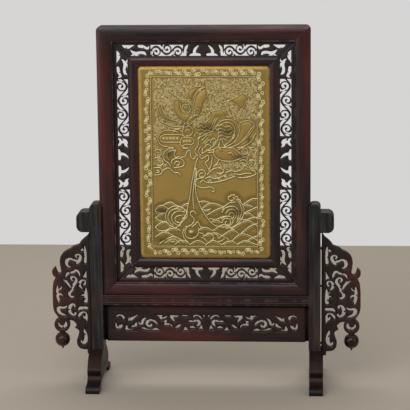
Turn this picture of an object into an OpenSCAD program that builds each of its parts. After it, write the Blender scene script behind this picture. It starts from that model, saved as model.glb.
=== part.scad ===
// Carved hardwood table screen: a framed brass panel with a pierced border,
// standing in the grooved posts of a separate stand with pierced side wings.
// Millimetres, +Z up, X across the screen, -Y the front, origin on the floor under the centre.

/* [Screen frame] */
// Width of the screen over its stiles
frame_w = 500; // [460:1:540]
// Height of the screen from its lower to its upper edge
frame_h = 650; // [600:1:700]
// Thickness of the outer frame
frame_t = 36; // [34:1:38]
// Width of the outer frame members on the face
rail_w = 38; // [36:1:42]
// Radius of the screen's outer corners
frame_corner_r = 12; // [6:1:14]
// Width of the bead along the frame's inner edge
bead_w = 4; // [3:0.5:5]
// How far the convex face of the frame stands above its edges
face_swell = 3.2; // [1:0.2:3.4]

/* [Pierced border] */
// Width of the pierced border between the two frames
band_w = 35; // [34:1:39]
// Thickness of the pierced boards
fret_t = 8; // [6:1:9]
// Depth of the tongues that hold the boards in the frame grooves
tongue = 5; // [4:0.5:6]
// Plain margin between the piercing and the outer frame
fret_margin = 7.5; // [4:0.5:8]
// Plain margin between the piercing and the inner frame
fret_inset = 1.5; // [1:0.5:3]
// Number of scrolls in each half of the upper and lower boards
scrolls_across = 3; // [2:1:4]
// Number of scrolls in each half of the side boards
scrolls_up = 4; // [3:1:5]

/* [Panel] */
// Width of the inner frame members on the face
inner_w = 21; // [20:1:24]
// Thickness of the inner frame
inner_t = 16; // [14:1:20]
// Thickness of the wooden board behind the brass
board_t = 8; // [6:1:9]
// Thickness of the brass sheet
brass_t = 1.2; // [0.8:0.2:1.6]
// Depth of the brass pan over its rolled edge
pan_d = 5; // [4:0.5:6]
// Width of the rolled edge of the brass pan
pan_roll = 9; // [6:1:12]
// Radius of the panel's corners
panel_r = 11; // [11:1:18]
// Diameter of the pins between the panel and the inner frame
pin_d = 4; // [3:0.5:5]
// Depth of each pin in the panel and in the inner frame
pin_depth = 8; // [5:1:9]

/* [Posts] */
// Height of the posts above the ears
post_head = 19; // [12:1:30]
// Width of the posts seen from the front
post_w = 28; // [26:1:32]
// Depth of the posts from front to back
post_d = 50; // [48:1:56]
// Radius of the rounded post tops
post_r = 11; // [6:1:12]
// Depth that each stile sits in its post groove
housing = 4; // [3:0.5:6]
// Width of the ear blocks beyond the posts
ear_w = 31.5; // [28:0.5:38]
// Height of the ear blocks
ear_h = 49; // [40:1:60]
// Gap between the ears and the tops of the wings
ear_gap = 2; // [0.5:0.5:6]
// Radius of the ears' outer corners
ear_r = 15; // [8:1:19]

/* [Feet] */
// Length of the feet from front to back
foot_l = 234; // [220:1:260]
// Width of the feet
foot_w = 33; // [31:1:38]
// Height of the feet under the posts
foot_h = 84; // [76:1:90]
// How far the feet are set outwards from the middle of the posts
foot_set = 4; // [0:0.5:5]
// Height of the arch under each foot
arch_h = 20; // [12:1:26]
// Length of the level toe at each end of a foot
toe_l = 34; // [26:1:42]

/* [Rails] */
// Height of the ledge that the screen stands on
seat_z = 210.5; // [205:0.5:220]
// Height of the lips in front of and behind the screen
lip_h = 7.5; // [5:0.5:9]
// Height of the moulded seat rail
seat_h = 24; // [22:1:30]
// Depth of the seat rail from front to back
seat_d = 47; // [46:1:48]
// Height of the pierced apron board
apron_h = 86; // [76:1:94]
// Thickness of the apron board
apron_t = 13; // [11:1:18]
// Reveal between the apron board and what surrounds it
reveal = 7.5; // [5:0.5:10]
// Thickness of the tongue round the apron board
apron_tongue_t = 7; // [5:0.5:8]
// Height of the pierced field in the apron
field_h = 40; // [34:1:46]
// Plain wood under the pierced field
field_z = 25; // [18:1:30]
// Plain wood at both ends of the pierced field
field_end = 20; // [14:1:30]

/* [Wings] */
// Width of the side wings
wing_w = 93; // [80:1:110]
// Height of the side wings
wing_h = 302; // [270:1:340]
// Thickness of the side wings
wing_t = 14; // [12:1:20]
// Height of the lower end of the wings above the floor
wing_z = 68; // [64:1:72]
// Gap between a wing and its post
wing_gap = 2.5; // [2:0.5:6]
// Diameter of the wing pegs
peg_d = 6; // [4:0.5:7]
// Depth of each peg in the post and in the wing
peg_depth = 7; // [5:0.5:8]
// Diameter of the turned drop balls
ball_d = 36; // [26:1:38]

/* [Joints] */
// Clearance round the parts that slide
slide_gap = 0.3; // [0.2:0.1:0.5]
// Clearance round tenons, tongues and pins
fit_gap = 0.1; // [0.05:0.05:0.2]
// Length of the tenons in the posts
tenon_l = 12; // [8:1:14]

/* [Hidden] */
$fn = 48;
cut = 1; // how far a cutting body runs past the face it cuts

// Wood colours
DARK = "#3b2b2b";
STAND = "#343032";
BALL = "#4a2f28";
BRASS = "#9c8446";

// Screen sizes
half_w = frame_w / 2;
half_h = frame_h / 2;
mid_z = seat_z + half_h;
open_w = half_w - rail_w;
open_h = half_h - rail_w;
in_w = open_w - band_w;
in_h = open_h - band_w;
panel_w = in_w - inner_w;
panel_h = in_h - inner_w;
panel_gap = slide_gap;

// Stand sizes
post_in = half_w - housing;
post_x = post_in + post_w / 2;
post_out = post_in + post_w;
foot_x = post_x + foot_set;
seat_top = seat_z + lip_h;
seat_bottom = seat_top - seat_h;
apron_top = seat_bottom - reveal;
apron_bottom = apron_top - apron_h;
wing_x = post_out + wing_gap;
ear_z = wing_z + wing_h + ear_gap;
post_top = ear_z + ear_h + post_head;

// The wing and the apron field were drawn at these sizes, and are fitted to the chosen ones
WING_DRAWN = [93, 302];
FIELD_DRAWN = [218, 40];

// Curves
function mix(a, b, t) = a + (b - a) * t;
// A smooth run through the given points, with its ends on the first and the last
function knot(p, i) = p[min(max(i, 0), len(p) - 1)];
function blend(a, b, c, d, t) =
    0.5 * (2 * b + (c - a) * t + (2 * a - 5 * b + 4 * c - d) * t * t
           + (3 * b - a - 3 * c + d) * t * t * t);
function smooth(p, n = 4) = [
    for (i = [0:len(p) - 2], j = [0:n - 1])
        blend(knot(p, i - 1), p[i], p[i + 1], knot(p, i + 2), j / n)
];
function arc(c, r, from, to, n = 6) =
    [for (i = [0:n]) c + r * [cos(mix(from, to, i / n)), sin(mix(from, to, i / n))]];

// Openings of the fretwork
// A band of changing width along a smooth run of stations, each [x, y, half width], with round ends
function heading(run, i) =
    let (d = run[min(i + 1, len(run) - 1)] - run[max(i - 1, 0)]) atan2(d[1], d[0]);
function beside(q, a) = [q[0], q[1]] + q[2] * [cos(a), sin(a)];
function band(run) =
    let (last = len(run) - 1)
    concat(
        [for (i = [0:last]) beside(run[i], heading(run, i) + 90)],
        [for (a = [45, 0, -45]) beside(run[last], heading(run, last) + a)],
        [for (i = [last:-1:0]) beside(run[i], heading(run, i) - 90)],
        [for (a = [-135, 180, 135]) beside(run[0], heading(run, 0) + a)]
    );
function scaled(p, s) = [for (q = p) [q[0] * s[0], q[1] * s[1]]];
module ribbon(stations, n = 3, s = [1, 1])
    polygon(scaled(band(concat(smooth(stations, n), [stations[len(stations) - 1]])), s));
// A three-pointed opening with hollow sides
GORE_STEPS = 4;
module gore(a, b, c, hollow = 0.12)
    polygon([
        for (side = [[a, b], [b, c], [c, a]], i = [0:GORE_STEPS - 1])
            let (t = i / GORE_STEPS, m = (a + b + c) / 3)
            mix(mix(side[0], side[1], t), m, 4 * hollow * t * (1 - t))
    ]);
// A small point of wood that stands into an opening, as wide at its root as twice the half width
module leaf_point(root, tip, half) {
    d = (tip - root) / norm(tip - root);
    polygon([root + half * [-d[1], d[0]], root - half * [-d[1], d[0]], tip]);
}
// A comma that winds in round the centre of a scroll of radius r, as [turn, share of r, half width]
CURL = [[232, 1.24, 0.04], [205, 0.9, 0.12], [182, 0.74, 0.19], [145, 0.59, 0.22], [90, 0.56, 0.225],
        [40, 0.56, 0.225], [-10, 0.55, 0.23], [-60, 0.52, 0.24], [-105, 0.4, 0.25], [-150, 0.27, 0.17]];
module curl(c, r, side) translate(c) scale([r, side * r]) difference() {
    ribbon([for (k = CURL) [k[1] * cos(k[0]), k[1] * sin(k[0]), k[2]]]);
    leaf_point([-0.98, 0.2], [-0.62, 0.1], 0.13);
    leaf_point([0.2, 0.98], [0.12, 0.66], 0.13);
}

// Solid helpers
// Places a drawing's x across and y up, with its thickness centred on the middle plane
module upright(t) rotate([90, 0, 0]) linear_extrude(t, center = true) children();
// Runs a section, drawn as depth and height, along X
module run(l) rotate([90, 0, 90]) linear_extrude(l, center = true) children();
module block(lo, hi) translate(lo) cube(hi - lo);
module rounded(w, h, r) {
    square([2 * w, 2 * (h - r)], center = true);
    square([2 * (w - r), 2 * h], center = true);
    for (x = [-1, 1], z = [-1, 1]) translate([x * (w - r), z * (h - r)]) circle(r);
}
// One side of a mitred frame: the top at turn 0, the right at 90, the bottom at 180, the left at 270
module frame_side(turn, outer_w, outer_h) {
    swap = turn % 180 == 90;
    translate([0, 0, mid_z]) rotate([0, turn, 0])
        member_at(swap ? outer_h : outer_w, swap ? outer_w : outer_h) children();
}
module member_at(length, reach) { $length = length; $reach = reach; children(); }
module mitre(length, reach, w)
    polygon([[-length, reach], [length, reach], [length - w, reach - w], [w - length, reach - w]]);

// Outer frame
function frame_face(t, w) =
    let (
        body = w - bead_w,
        edge = t / 2 - face_swell,
        chord = body / 2,
        r = (chord * chord + face_swell * face_swell) / (2 * face_swell),
        half = asin(chord / r)
    )
    concat(
        [[edge - bead_w * 0.6, 0]],
        arc([edge - bead_w * 0.5, bead_w / 2], bead_w / 2, -80, 80, 5),
        [for (i = [0:10]) let (a = mix(-half, half, i / 10))
            [t / 2 - r + r * cos(a), bead_w + body / 2 + r * sin(a)]]
    );
// A section with the given face in front and its mirror image behind
module two_faced(face)
    polygon(concat(face, [for (i = [len(face) - 1:-1:0]) [-face[i][0], face[i][1]]]));
module frame_section() two_faced(frame_face(frame_t, rail_w));
module frame_bar() {
    difference() {
        intersection() {
            translate([0, 0, $reach - rail_w]) run(2 * $length) frame_section();
            upright(frame_t + cut) intersection() {
                mitre($length, $reach, rail_w);
                rounded($length, $reach, frame_corner_r);
            }
        }
        block([-$length, -fret_t / 2 - fit_gap, $reach - rail_w - cut],
              [$length, fret_t / 2 + fit_gap, $reach - rail_w + tongue + fit_gap]);
    }
}
// Tenons of the upper and lower rails, which enter the stiles across the mitres
CORNER_TENON = [3, 10]; // wood left round these tenons, and their thickness
module frame_tenons(z, gap) {
    wood = CORNER_TENON[0];
    low = tongue + wood;
    high = rail_w - frame_corner_r;
    for (x = [-1, 1])
        translate([x * (half_w - rail_w / 2 - wood), 0, mid_z + z * (open_h + (low + high) / 2)])
            cube([rail_w - 2 * wood, CORNER_TENON[1], high - low] + 2 * gap * [1, 1, 1], center = true);
}
module frame_rail(z) color(DARK) {
    frame_side(90 - 90 * z, half_w, half_h) frame_bar();
    frame_tenons(z, 0);
}
module frame_stile(x) color(DARK) difference() {
    frame_side(90 * x + (x < 0 ? 360 : 0), half_w, half_h) frame_bar();
    for (z = [-1, 1]) frame_tenons(z, fit_gap);
}

// Pierced border boards
fret_out = tongue - fit_gap;
field = band_w - fret_margin - fret_inset;
// Each board is drawn flat: x from its middle to the corner, y from the field's centre line outwards,
// with the field this wide, and is scaled to the real field
FRET_DRAWN = 26;
fret_unit = field / FRET_DRAWN;
half_f = FRET_DRAWN / 2;
CORNER_L = 53; // length of the leaves beside each mitre
MIDDLE_L = [48, 64]; // length of the middle group on the upper and lower boards, and on the side boards
// A tee with a curved blade, and beside it a waisted leaf or a butterfly
module fret_middle(on_side) {
    ribbon([[31, 1.2 - half_f, 2.4], [24, 3 - half_f, 3.4], [12, 3 - half_f, 3.4], [9, 2.4 - half_f, 2.8]]);
    ribbon([[21, 4 - half_f, 4], [21, -1, 3.4], [17, half_f - 7, 2.6], [11, half_f - 1.6, 0.6]]);
    if (on_side) {
        ribbon([[59, -half_f, 1], [56, 4 - half_f, 3], [51, 6 - half_f, 2.6], [46, 5 - half_f, 3.2],
                [41, -half_f, 1.4]]);
        ribbon([[51, 6 - half_f, 2.6], [50, -2, 3.4], [50, 3, 4.4]]);
        ribbon([[58, -3, 0.6], [54, 3, 3.4], [49, 6, 4], [43, 5, 3.6], [38, half_f - 3, 0.8]]);
    } else {
        ribbon([[36, half_f, 0.6], [40, half_f - 5.5, 3], [42.5, 1, 2.6], [43, -5, 3.2], [46, -half_f, 6]]);
        ribbon([[42, -3, 1], [37, -4, 0.6]], 2);
    }
}
// The running vine and its scrolls: the vine swings from side to side, and a scroll sits in each swing
VINE = 1.7; // half width of the vine
module fret_run(pitch, count, side) {
    r = min(FRET_DRAWN * 0.455, pitch * 0.44);
    lean = half_f - r + 0.5;
    swing = r + 0.7 - lean;
    steps = 8;
    difference() {
        translate([0, -half_f]) square([pitch * count, FRET_DRAWN]);
        ribbon([for (i = [0:steps * count])
            [pitch * i / steps, side * swing * sin(180 * i / steps), VINE]], 1);
        for (i = [0:count - 1]) {
            s = side * (i % 2 == 0 ? 1 : -1);
            x = pitch * (i + 0.5);
            translate([x, -s * lean]) circle(r);
            // Leaf spurs in the open corners beside the scroll
            ribbon([[x - pitch * 0.48, -s * half_f, 2.6], [x - pitch * 0.4, -s * (half_f - 3), 1.4],
                    [x - pitch * 0.36, -s * (half_f - 6), 0.4]], 2);
        }
    }
    for (i = [0:count - 1]) {
        s = side * (i % 2 == 0 ? 1 : -1);
        curl([pitch * (i + 0.5), -s * lean], r, s);
    }
}
// Leaves on both sides of the stem that runs out to the mitre
module fret_corner(c) difference() {
    corner_leaves(c);
    leaf_point([c - 36, half_f - 10], [c - 37, half_f - 4.5], 1.6);
    leaf_point([c - 31, -11], [c - 30, -6], 1.6);
    leaf_point([c - 15, -half_f - 1], [c - 14, -half_f + 4], 1.6);
    leaf_point([c + 4, half_f - 10], [c + 3, half_f - 4.5], 1.6);
}
module corner_leaves(c) {
    ribbon([[c - 26, half_f - 3, 3.4], [c - 33, half_f - 3.6, 4], [c - 40, half_f - 6, 3],
            [c - 46, half_f - 8.5, 2.8], [c - 49, half_f - 3.5, 1.2]]);
    ribbon([[c - 22, -6, 3.2], [c - 30, -5, 3.4], [c - 38, -6, 3.4], [c - 41, -10, 1.8]]);
    ribbon([[c - 6, 1, 0.8], [c - 11, -4, 3], [c - 18, -7, 4], [c - 26, -5.5, 3]]);
    gore([c - 5, -half_f], [c - 27, -half_f], [c - 15, -5], 0.1);
    ribbon([[c + 13, half_f - 1, 1], [c + 8, half_f - 3.5, 3.4], [c - 1, half_f - 4.5, 4.2],
            [c - 9, half_f - 2, 2], [c - 14, half_f - 0.6, 0.6]]);
}
// The two halves of a side board run the same way
module fret_half(corner, count, on_side, inward) {
    middle = MIDDLE_L[on_side ? 1 : 0];
    pitch = (corner - middle - CORNER_L) / count;
    side = on_side ? -1 : 1;
    scale([1, side]) fret_middle(on_side);
    translate([inward ? corner - CORNER_L : middle, 0]) mirror([inward ? 1 : 0, 0])
        fret_run(pitch, count, side);
    fret_corner(corner);
}
module fret_board(count, on_side) {
    mid_v = $reach - tongue - fret_margin - field / 2;
    corner = ($length - tongue - band_w) / fret_unit;
    difference() {
        mitre($length - fit_gap, $reach - fit_gap, band_w + 2 * fret_out);
        translate([0, mid_v]) scale(fret_unit) intersection() {
            square([2 * $length / fret_unit, FRET_DRAWN], center = true);
            union() {
                fret_half(corner, count, on_side, true);
                mirror([1, 0]) fret_half(corner, count, on_side, !on_side);
            }
        }
    }
}
module fret(turn, count) color(DARK)
    frame_side(turn, open_w + tongue, open_h + tongue) upright(fret_t) fret_board(count, turn % 180 == 90);

// Inner frame
module inner_section() {
    r = (inner_w * inner_w / 4 + 3.5 * 3.5) / 7;
    half = asin(inner_w / 2 / r);
    front = [for (i = [0:10]) let (a = mix(-half, half, i / 10))
        [inner_t / 2 - r + r * cos(a), inner_w / 2 + r * sin(a)]];
    two_faced(front);
}
module inner_bar() difference() {
    intersection() {
        translate([0, 0, $reach - inner_w]) run(2 * $length) inner_section();
        upright(inner_t + cut) mitre($length, $reach, inner_w);
    }
    block([-$length, -fret_t / 2 - fit_gap, $reach - tongue - fit_gap],
          [$length, fret_t / 2 + fit_gap, $reach + cut]);
}
INNER_TENON = [4, 5]; // wood left round the inner frame's tenons, and their thickness
module inner_tenons(z, gap) {
    wood = INNER_TENON[0];
    tenon_w = inner_w - tongue - 2 * wood;
    for (x = [-1, 1])
        translate([x * (in_w - inner_w / 2 - wood), 0, mid_z + z * (panel_h + wood + tenon_w / 2)])
            cube([inner_w - 2 * wood, INNER_TENON[1], tenon_w] + 2 * gap * [1, 1, 1], center = true);
}
module inner_rail(z) color(DARK) difference() {
    union() {
        frame_side(90 - 90 * z, in_w, in_h) inner_bar();
        inner_tenons(z, 0);
    }
    pins(fit_gap);
}
module inner_stile(x) color(DARK) difference() {
    frame_side(90 * x + (x < 0 ? 360 : 0), in_w, in_h) inner_bar();
    for (z = [-1, 1]) inner_tenons(z, fit_gap);
    pins(fit_gap);
}

// Panel
pan_front = -inner_t / 2 + 1;
board_back = pan_front + pan_d + board_t - 2;
pin_y = pan_front + pan_d + (board_t - 2) / 2;
module pin_hole(gap, l) cylinder(d = pin_d + 2 * gap, h = l, center = true);
module pins(gap) translate([0, pin_y, mid_z]) {
    l = 2 * pin_depth + panel_gap + (gap > 0 ? 2 * fit_gap : 0);
    for (x = [-1, 1], z = [-1, 1])
        translate([x * (panel_w - panel_gap / 2), 0, z * panel_h / 2]) rotate([0, 90, 0]) pin_hole(gap, l);
    for (z = [-1, 1]) translate([0, 0, z * (panel_h - panel_gap / 2)]) pin_hole(gap, l);
}
// A slab with rolled front edges, drawn in by the given amount all round
module pillow(inset, back) {
    steps = 3;
    hull() for (i = [0:steps]) {
        a = 90 * i / steps;
        in = inset + (pan_roll - inset) * (1 - cos(a));
        y = mix(back, pan_front + inset, sin(a));
        translate([0, min(y, back - 0.1), mid_z])
            rotate([90, 0, 0]) linear_extrude(0.1)
                rounded(panel_w - panel_gap - in, panel_h - panel_gap - in, max(panel_r - inset, 2), $fn = 32);
    }
}
module plaque() color(BRASS) difference() {
    pillow(0, pan_front + pan_d);
    pillow(brass_t, pan_front + pan_d + 0.5);
}
module core_board() color(DARK) difference() {
    union() {
        intersection() {
            pillow(brass_t + fit_gap, pan_front + pan_d + 1);
            block([-half_w, pan_front, seat_z], [half_w, pan_front + pan_d, mid_z + half_h]);
        }
        translate([0, (pan_front + pan_d + board_back) / 2, mid_z])
            upright(board_back - pan_front - pan_d)
                square(2 * [panel_w - panel_gap, panel_h - panel_gap], center = true);
    }
    pins(fit_gap);
}

// Stand
module mirrored(x) mirror([x < 0 ? 1 : 0, 0, 0]) children();
TENON_HALF = 10; // half the thickness of the tenons of the seat rail and ears
ROOT = 5; // length of a tenon that runs back into its own piece
SHOULDER = [3, 2.5]; // wood below and above the seat rail's tenon
APRON_SHOULDER = [12, 10];
SEAT_GROOVE = 5; // depth of the groove for the apron, under the seat rail
module seat_tenon(gap)
    block([post_in - ROOT, -TENON_HALF - gap, seat_bottom + SHOULDER[0] - gap],
          [post_in + tenon_l + gap, TENON_HALF + gap, seat_z - SHOULDER[1] + gap]);
module apron_tenon(gap)
    block([post_in - ROOT, -apron_tongue_t / 2 - gap, apron_bottom + APRON_SHOULDER[0] - gap],
          [post_in + tenon_l + gap, apron_tongue_t / 2 + gap, apron_top - APRON_SHOULDER[1] + gap]);
module ear_tenon(gap)
    block([post_out - tenon_l - gap, -TENON_HALF - gap, ear_z + ear_h / 4 - gap],
          [post_out + ROOT, TENON_HALF + gap, ear_z + 3 * ear_h / 4 + gap]);
module foot_tenon(gap)
    block([post_x - post_w / 4 - gap, -post_d / 4 - gap, foot_h / 2 - gap],
          [post_x + post_w / 4 + gap, post_d / 4 + gap, foot_h + ROOT]);
PEG_HEIGHTS = [30, 170, 262];
module peg_holes(gap)
    for (z = PEG_HEIGHTS)
        translate([post_out + wing_gap / 2, 0, wing_z + z * wing_h / WING_DRAWN[1]]) rotate([0, 90, 0])
            cylinder(d = peg_d + 2 * gap, h = 2 * peg_depth + wing_gap + 2 * gap, center = true);

module post(x) color(STAND) mirrored(x) {
    difference() {
        translate([post_x, 0, 0]) upright(post_d) {
            translate([-post_w / 2, foot_h]) square([post_w, post_top - post_r - foot_h]);
            translate([-post_w / 2 + post_r, foot_h]) square([post_w - 2 * post_r, post_top - foot_h]);
            for (s = [-1, 1]) translate([s * (post_w / 2 - post_r), post_top - post_r]) circle(post_r);
        }
        block([post_in - cut, -frame_t / 2 - slide_gap, seat_z],
              [half_w + slide_gap, frame_t / 2 + slide_gap, post_top + cut]);
        seat_tenon(fit_gap);
        apron_tenon(fit_gap);
        ear_tenon(fit_gap);
        peg_holes(fit_gap);
    }
    foot_tenon(0);
}
module ear(x) color(STAND) mirrored(x) {
    upright(post_d) {
        translate([post_out, ear_z]) square([ear_w - ear_r, ear_h]);
        translate([post_out, ear_z + ear_r]) square([ear_w, ear_h - 2 * ear_r]);
        for (z = [ear_z + ear_r, ear_z + ear_h - ear_r])
            translate([post_out + ear_w - ear_r, z]) circle(ear_r);
    }
    ear_tenon(0);
}
// Half of the foot's outline, as distance from the middle and height
function foot_half() = let (
        l = foot_l / 2,
        h = foot_h,
        p = post_d / 2
    )
    concat(
        [[p, h]],
        smooth([[p + 2, h], [p + 12, h - 4], [p + 30, h - 15], [p + 44, h - 29], [l - 41, h - 38],
                [l - 42, h * 0.46], [l - 44, h * 0.37], [l - 38, h * 0.26], [l - 26, h * 0.2],
                [l - 14, h * 0.195], [l - 5, h * 0.175], [l - 0.6, h * 0.1], [l, h * 0.03]], 3),
        [[l, 0], [l - toe_l, 0]],
        smooth([[l - toe_l - 2, arch_h * 0.3], [l - toe_l - 9, arch_h * 0.66], [l - toe_l - 24, arch_h * 0.92],
                [l - toe_l - 44, arch_h]], 3)
    );
module foot(x) color(STAND) mirrored(x) difference() {
    translate([foot_x, 0, 0]) run(foot_w) two_faced(foot_half());
    foot_tenon(fit_gap);
    block([post_out + wing_gap - fit_gap, -wing_t / 2 - fit_gap, wing_z - fit_gap],
          [post_out + foot_w, wing_t / 2 + fit_gap, foot_h + cut]);
}
// Mouldings on the faces of the seat rail: beads as distance below the top, setback and radius,
// and flat bands as their upper and lower edges below the top, and setback
SEAT_BEADS = [[1.7, 1.7, 1.7], [5.4, 1.7, 1.6], [18.4, 2.4, 2.4]];
SEAT_BANDS = [[0, seat_h, 1.6], [7.6, 14.6, 0.6], [21, seat_h, 1]];
module seat_section() {
    d = seat_d / 2;
    for (s = [-1, 1]) scale([s, 1]) {
        for (b = SEAT_BEADS) translate([d - b[1], seat_h - b[0]]) circle(b[2]);
        for (b = SEAT_BANDS) translate([0, seat_h - b[1]]) square([d - b[2], b[1] - b[0]]);
    }
}
module seat_rail() color(STAND) difference() {
    union() {
        translate([0, 0, seat_bottom]) run(2 * post_in) seat_section();
        for (s = [-1, 1]) mirrored(s) seat_tenon(0);
    }
    block([-half_w, -frame_t / 2 - slide_gap, seat_z], [half_w, frame_t / 2 + slide_gap, seat_top + cut]);
    block([-post_in, -apron_tongue_t / 2 - fit_gap, seat_bottom - cut],
          [post_in, apron_tongue_t / 2 + fit_gap, seat_bottom + SEAT_GROOVE + fit_gap]);
}

// Apron piercing, drawn from the middle to one end: leaves and scrolls as stations, and open triangles
APRON_LEAVES = [
    [[216, 34.5, 1.4], [211, 37.5, 2], [204, 37, 2.4], [199.5, 33.5, 2.8], [200, 28, 1.2]],
    [[217.5, 19, 0.8], [217, 11, 2], [214, 6.5, 3], [209, 7, 3], [204, 11, 2.2], [203, 15, 0.8]],
    [[210, 8, 2], [207, 14, 0.8]],
    [[163, 39.5, 0.6], [172, 34, 2], [180, 28.5, 3.6], [186, 25, 2.6]],
    [[184, 27, 2.4], [186, 33, 0.8]],
    [[191, 12, 1.2], [192, 7, 2.6], [190, 4, 2.6]],
    [[193, 3.6, 2.8], [186, 2.6, 1.8], [166, 1.2, 0.6]],
    [[180, 8.5, 1.2], [175, 11, 2.8], [169.5, 14, 3.4], [168, 20, 0.8]],
    [[162, 21, 1], [160, 16.5, 2.4], [155, 17, 2.6], [153, 23, 2.6], [150, 28.5, 2.6], [144.5, 32, 0.8]],
    [[117, 15, 1.2], [121, 20, 2.6], [127, 24.5, 2.8], [134, 26, 2.8], [141, 23, 3], [143, 16.5, 3],
     [139.5, 11.5, 3], [134, 11.5, 2.8], [132, 15, 2.2]],
    [[157, 6, 1], [151, 6, 2.8], [143, 3, 1.8], [130, 1.8, 1.4], [122, 4, 3.2], [112, 1.5, 1]],
    [[110, 31, 2.2], [103, 31.5, 2.4], [98, 33, 2], [94, 36.5, 0.8]],
    [[95, 26, 1], [99.5, 21.5, 3.4], [98.5, 16, 3]],
    [[98.5, 16, 3], [92, 16, 2.6], [86, 14, 2.6], [82, 9, 1]],
    [[85, 33, 2.6], [79, 27, 2.4], [76, 22, 0.8]],
    [[80, 37, 2], [72, 35.5, 2.4], [66.5, 38.5, 1]],
    [[75, 8, 1], [70, 9.5, 3], [65, 13, 2.6], [61, 16, 0.8]],
    [[60, 38.5, 1], [53, 37.4, 2.2], [47, 37.5, 1.6], [42, 39, 0.8]],
    [[43.5, 23, 0.8], [38, 24, 2.6], [31, 23, 2.2], [24.5, 25.5, 3], [18.5, 24.5, 3.2], [16.5, 18.5, 3.2],
     [20, 13.5, 2.2], [24, 12.5, 1]],
    [[38, 8.5, 2], [33, 9.5, 3], [28, 8, 1.8]],
    [[30, 33, 0.8], [28, 37.5, 2], [21, 38, 2.2], [14.5, 34.5, 2.2], [10, 28, 1]]
];
APRON_GORES = [
    [122, 39.5, 105, 39.5, 108, 25], [90, 39.5, 74, 39.5, 80, 28], [57, 0.5, 40, 0.5, 50, 11], [19, 4, 6, 4, 11.5, 16],
    [9, 40, 2.5, 40, 5.5, 33]
];
// Leaf points in the openings, each as [root x, y, tip x, y]
APRON_POINTS = [
    [208, 32, 207.5, 37], [212, 2, 211, 7], [186, 21, 183, 27], [175, 16, 173.5, 11.5], [128, 31, 127.5, 25],
    [139, 30, 137, 25.5], [151, 12, 150, 6.5], [121, 31, 112, 35], [104, 38, 103, 31.5], [105, 20, 99, 19],
    [71, 16, 70, 10], [31, 17.5, 31, 23], [23, 31, 23, 25.5], [21, 33, 21, 38], [53, 33, 53, 37.5], [86, 9.5, 89, 15.5]
];
BOLD = 1.1; // openings are cut this much wider than drawn
POINT_HALF = 1.8; // half width of the leaf points at their roots
module piercing(leaves, gores, points, s) difference() {
    union() {
        for (p = leaves)
            ribbon([for (q = p) [q[0], q[1], q[2] * BOLD]], 3, s);
        for (p = gores)
            gore([p[0] * s[0], p[1] * s[1]], [p[2] * s[0], p[3] * s[1]], [p[4] * s[0], p[5] * s[1]]);
    }
    for (p = points)
        leaf_point([p[0] * s[0], p[1] * s[1]], [p[2] * s[0], p[3] * s[1]], POINT_HALF);
}
module apron_field() {
    s = [(post_in - reveal - field_end) / FIELD_DRAWN[0], field_h / FIELD_DRAWN[1]];
    piercing(APRON_LEAVES, APRON_GORES, APRON_POINTS, s);
}
module apron() color(STAND) difference() {
    union() {
        block([reveal - post_in, -apron_t / 2, apron_bottom], [post_in - reveal, apron_t / 2, apron_top]);
        block([fit_gap - post_in, -apron_tongue_t / 2, apron_bottom + 2],
              [post_in - fit_gap, apron_tongue_t / 2, seat_bottom + SEAT_GROOVE]);
        for (s = [-1, 1]) mirrored(s) apron_tenon(0);
    }
    translate([0, 0, apron_bottom + field_z]) upright(apron_t + cut) {
        apron_field();
        mirror([1, 0]) apron_field();
    }
}

// Wing outline, drawn outwards from the post edge: runs that meet at the points between lobes
WING_RUNS = [
    [[0, 302], [7, 291.5], [15, 285], [22, 278], [27, 270.5]],
    [[27, 270.5], [34, 268.5], [41.5, 265.5], [48, 260]],
    [[48, 260], [57, 255.5], [66, 249], [71.6, 240], [73.8, 229], [72.6, 215], [71, 206], [72.7, 200.5],
     [76.5, 199], [80.3, 201.5], [82.3, 207], [85, 215.5]],
    [[85, 215.5], [91.5, 209], [93, 201], [90.5, 193.5], [85, 188.5]],
    [[85, 188.5], [90, 179], [92.3, 166], [93, 150], [93, 118], [90, 104], [85, 96]]
];
WING_UNDER = [
    [[52, 83], [46, 82], [40, 77], [37, 72], [41, 64]],
    [[41, 64], [34, 60], [31, 54], [34, 42], [37, 32], [35, 20], [27, 12], [12, 10]]
];
WING_RING = [72, 72, 19]; // centre and radius of the ring over the drop ball
RING_FROM = 66; // the outline follows the ring from this angle, clockwise, to the next
RING_TO = -219;
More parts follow.
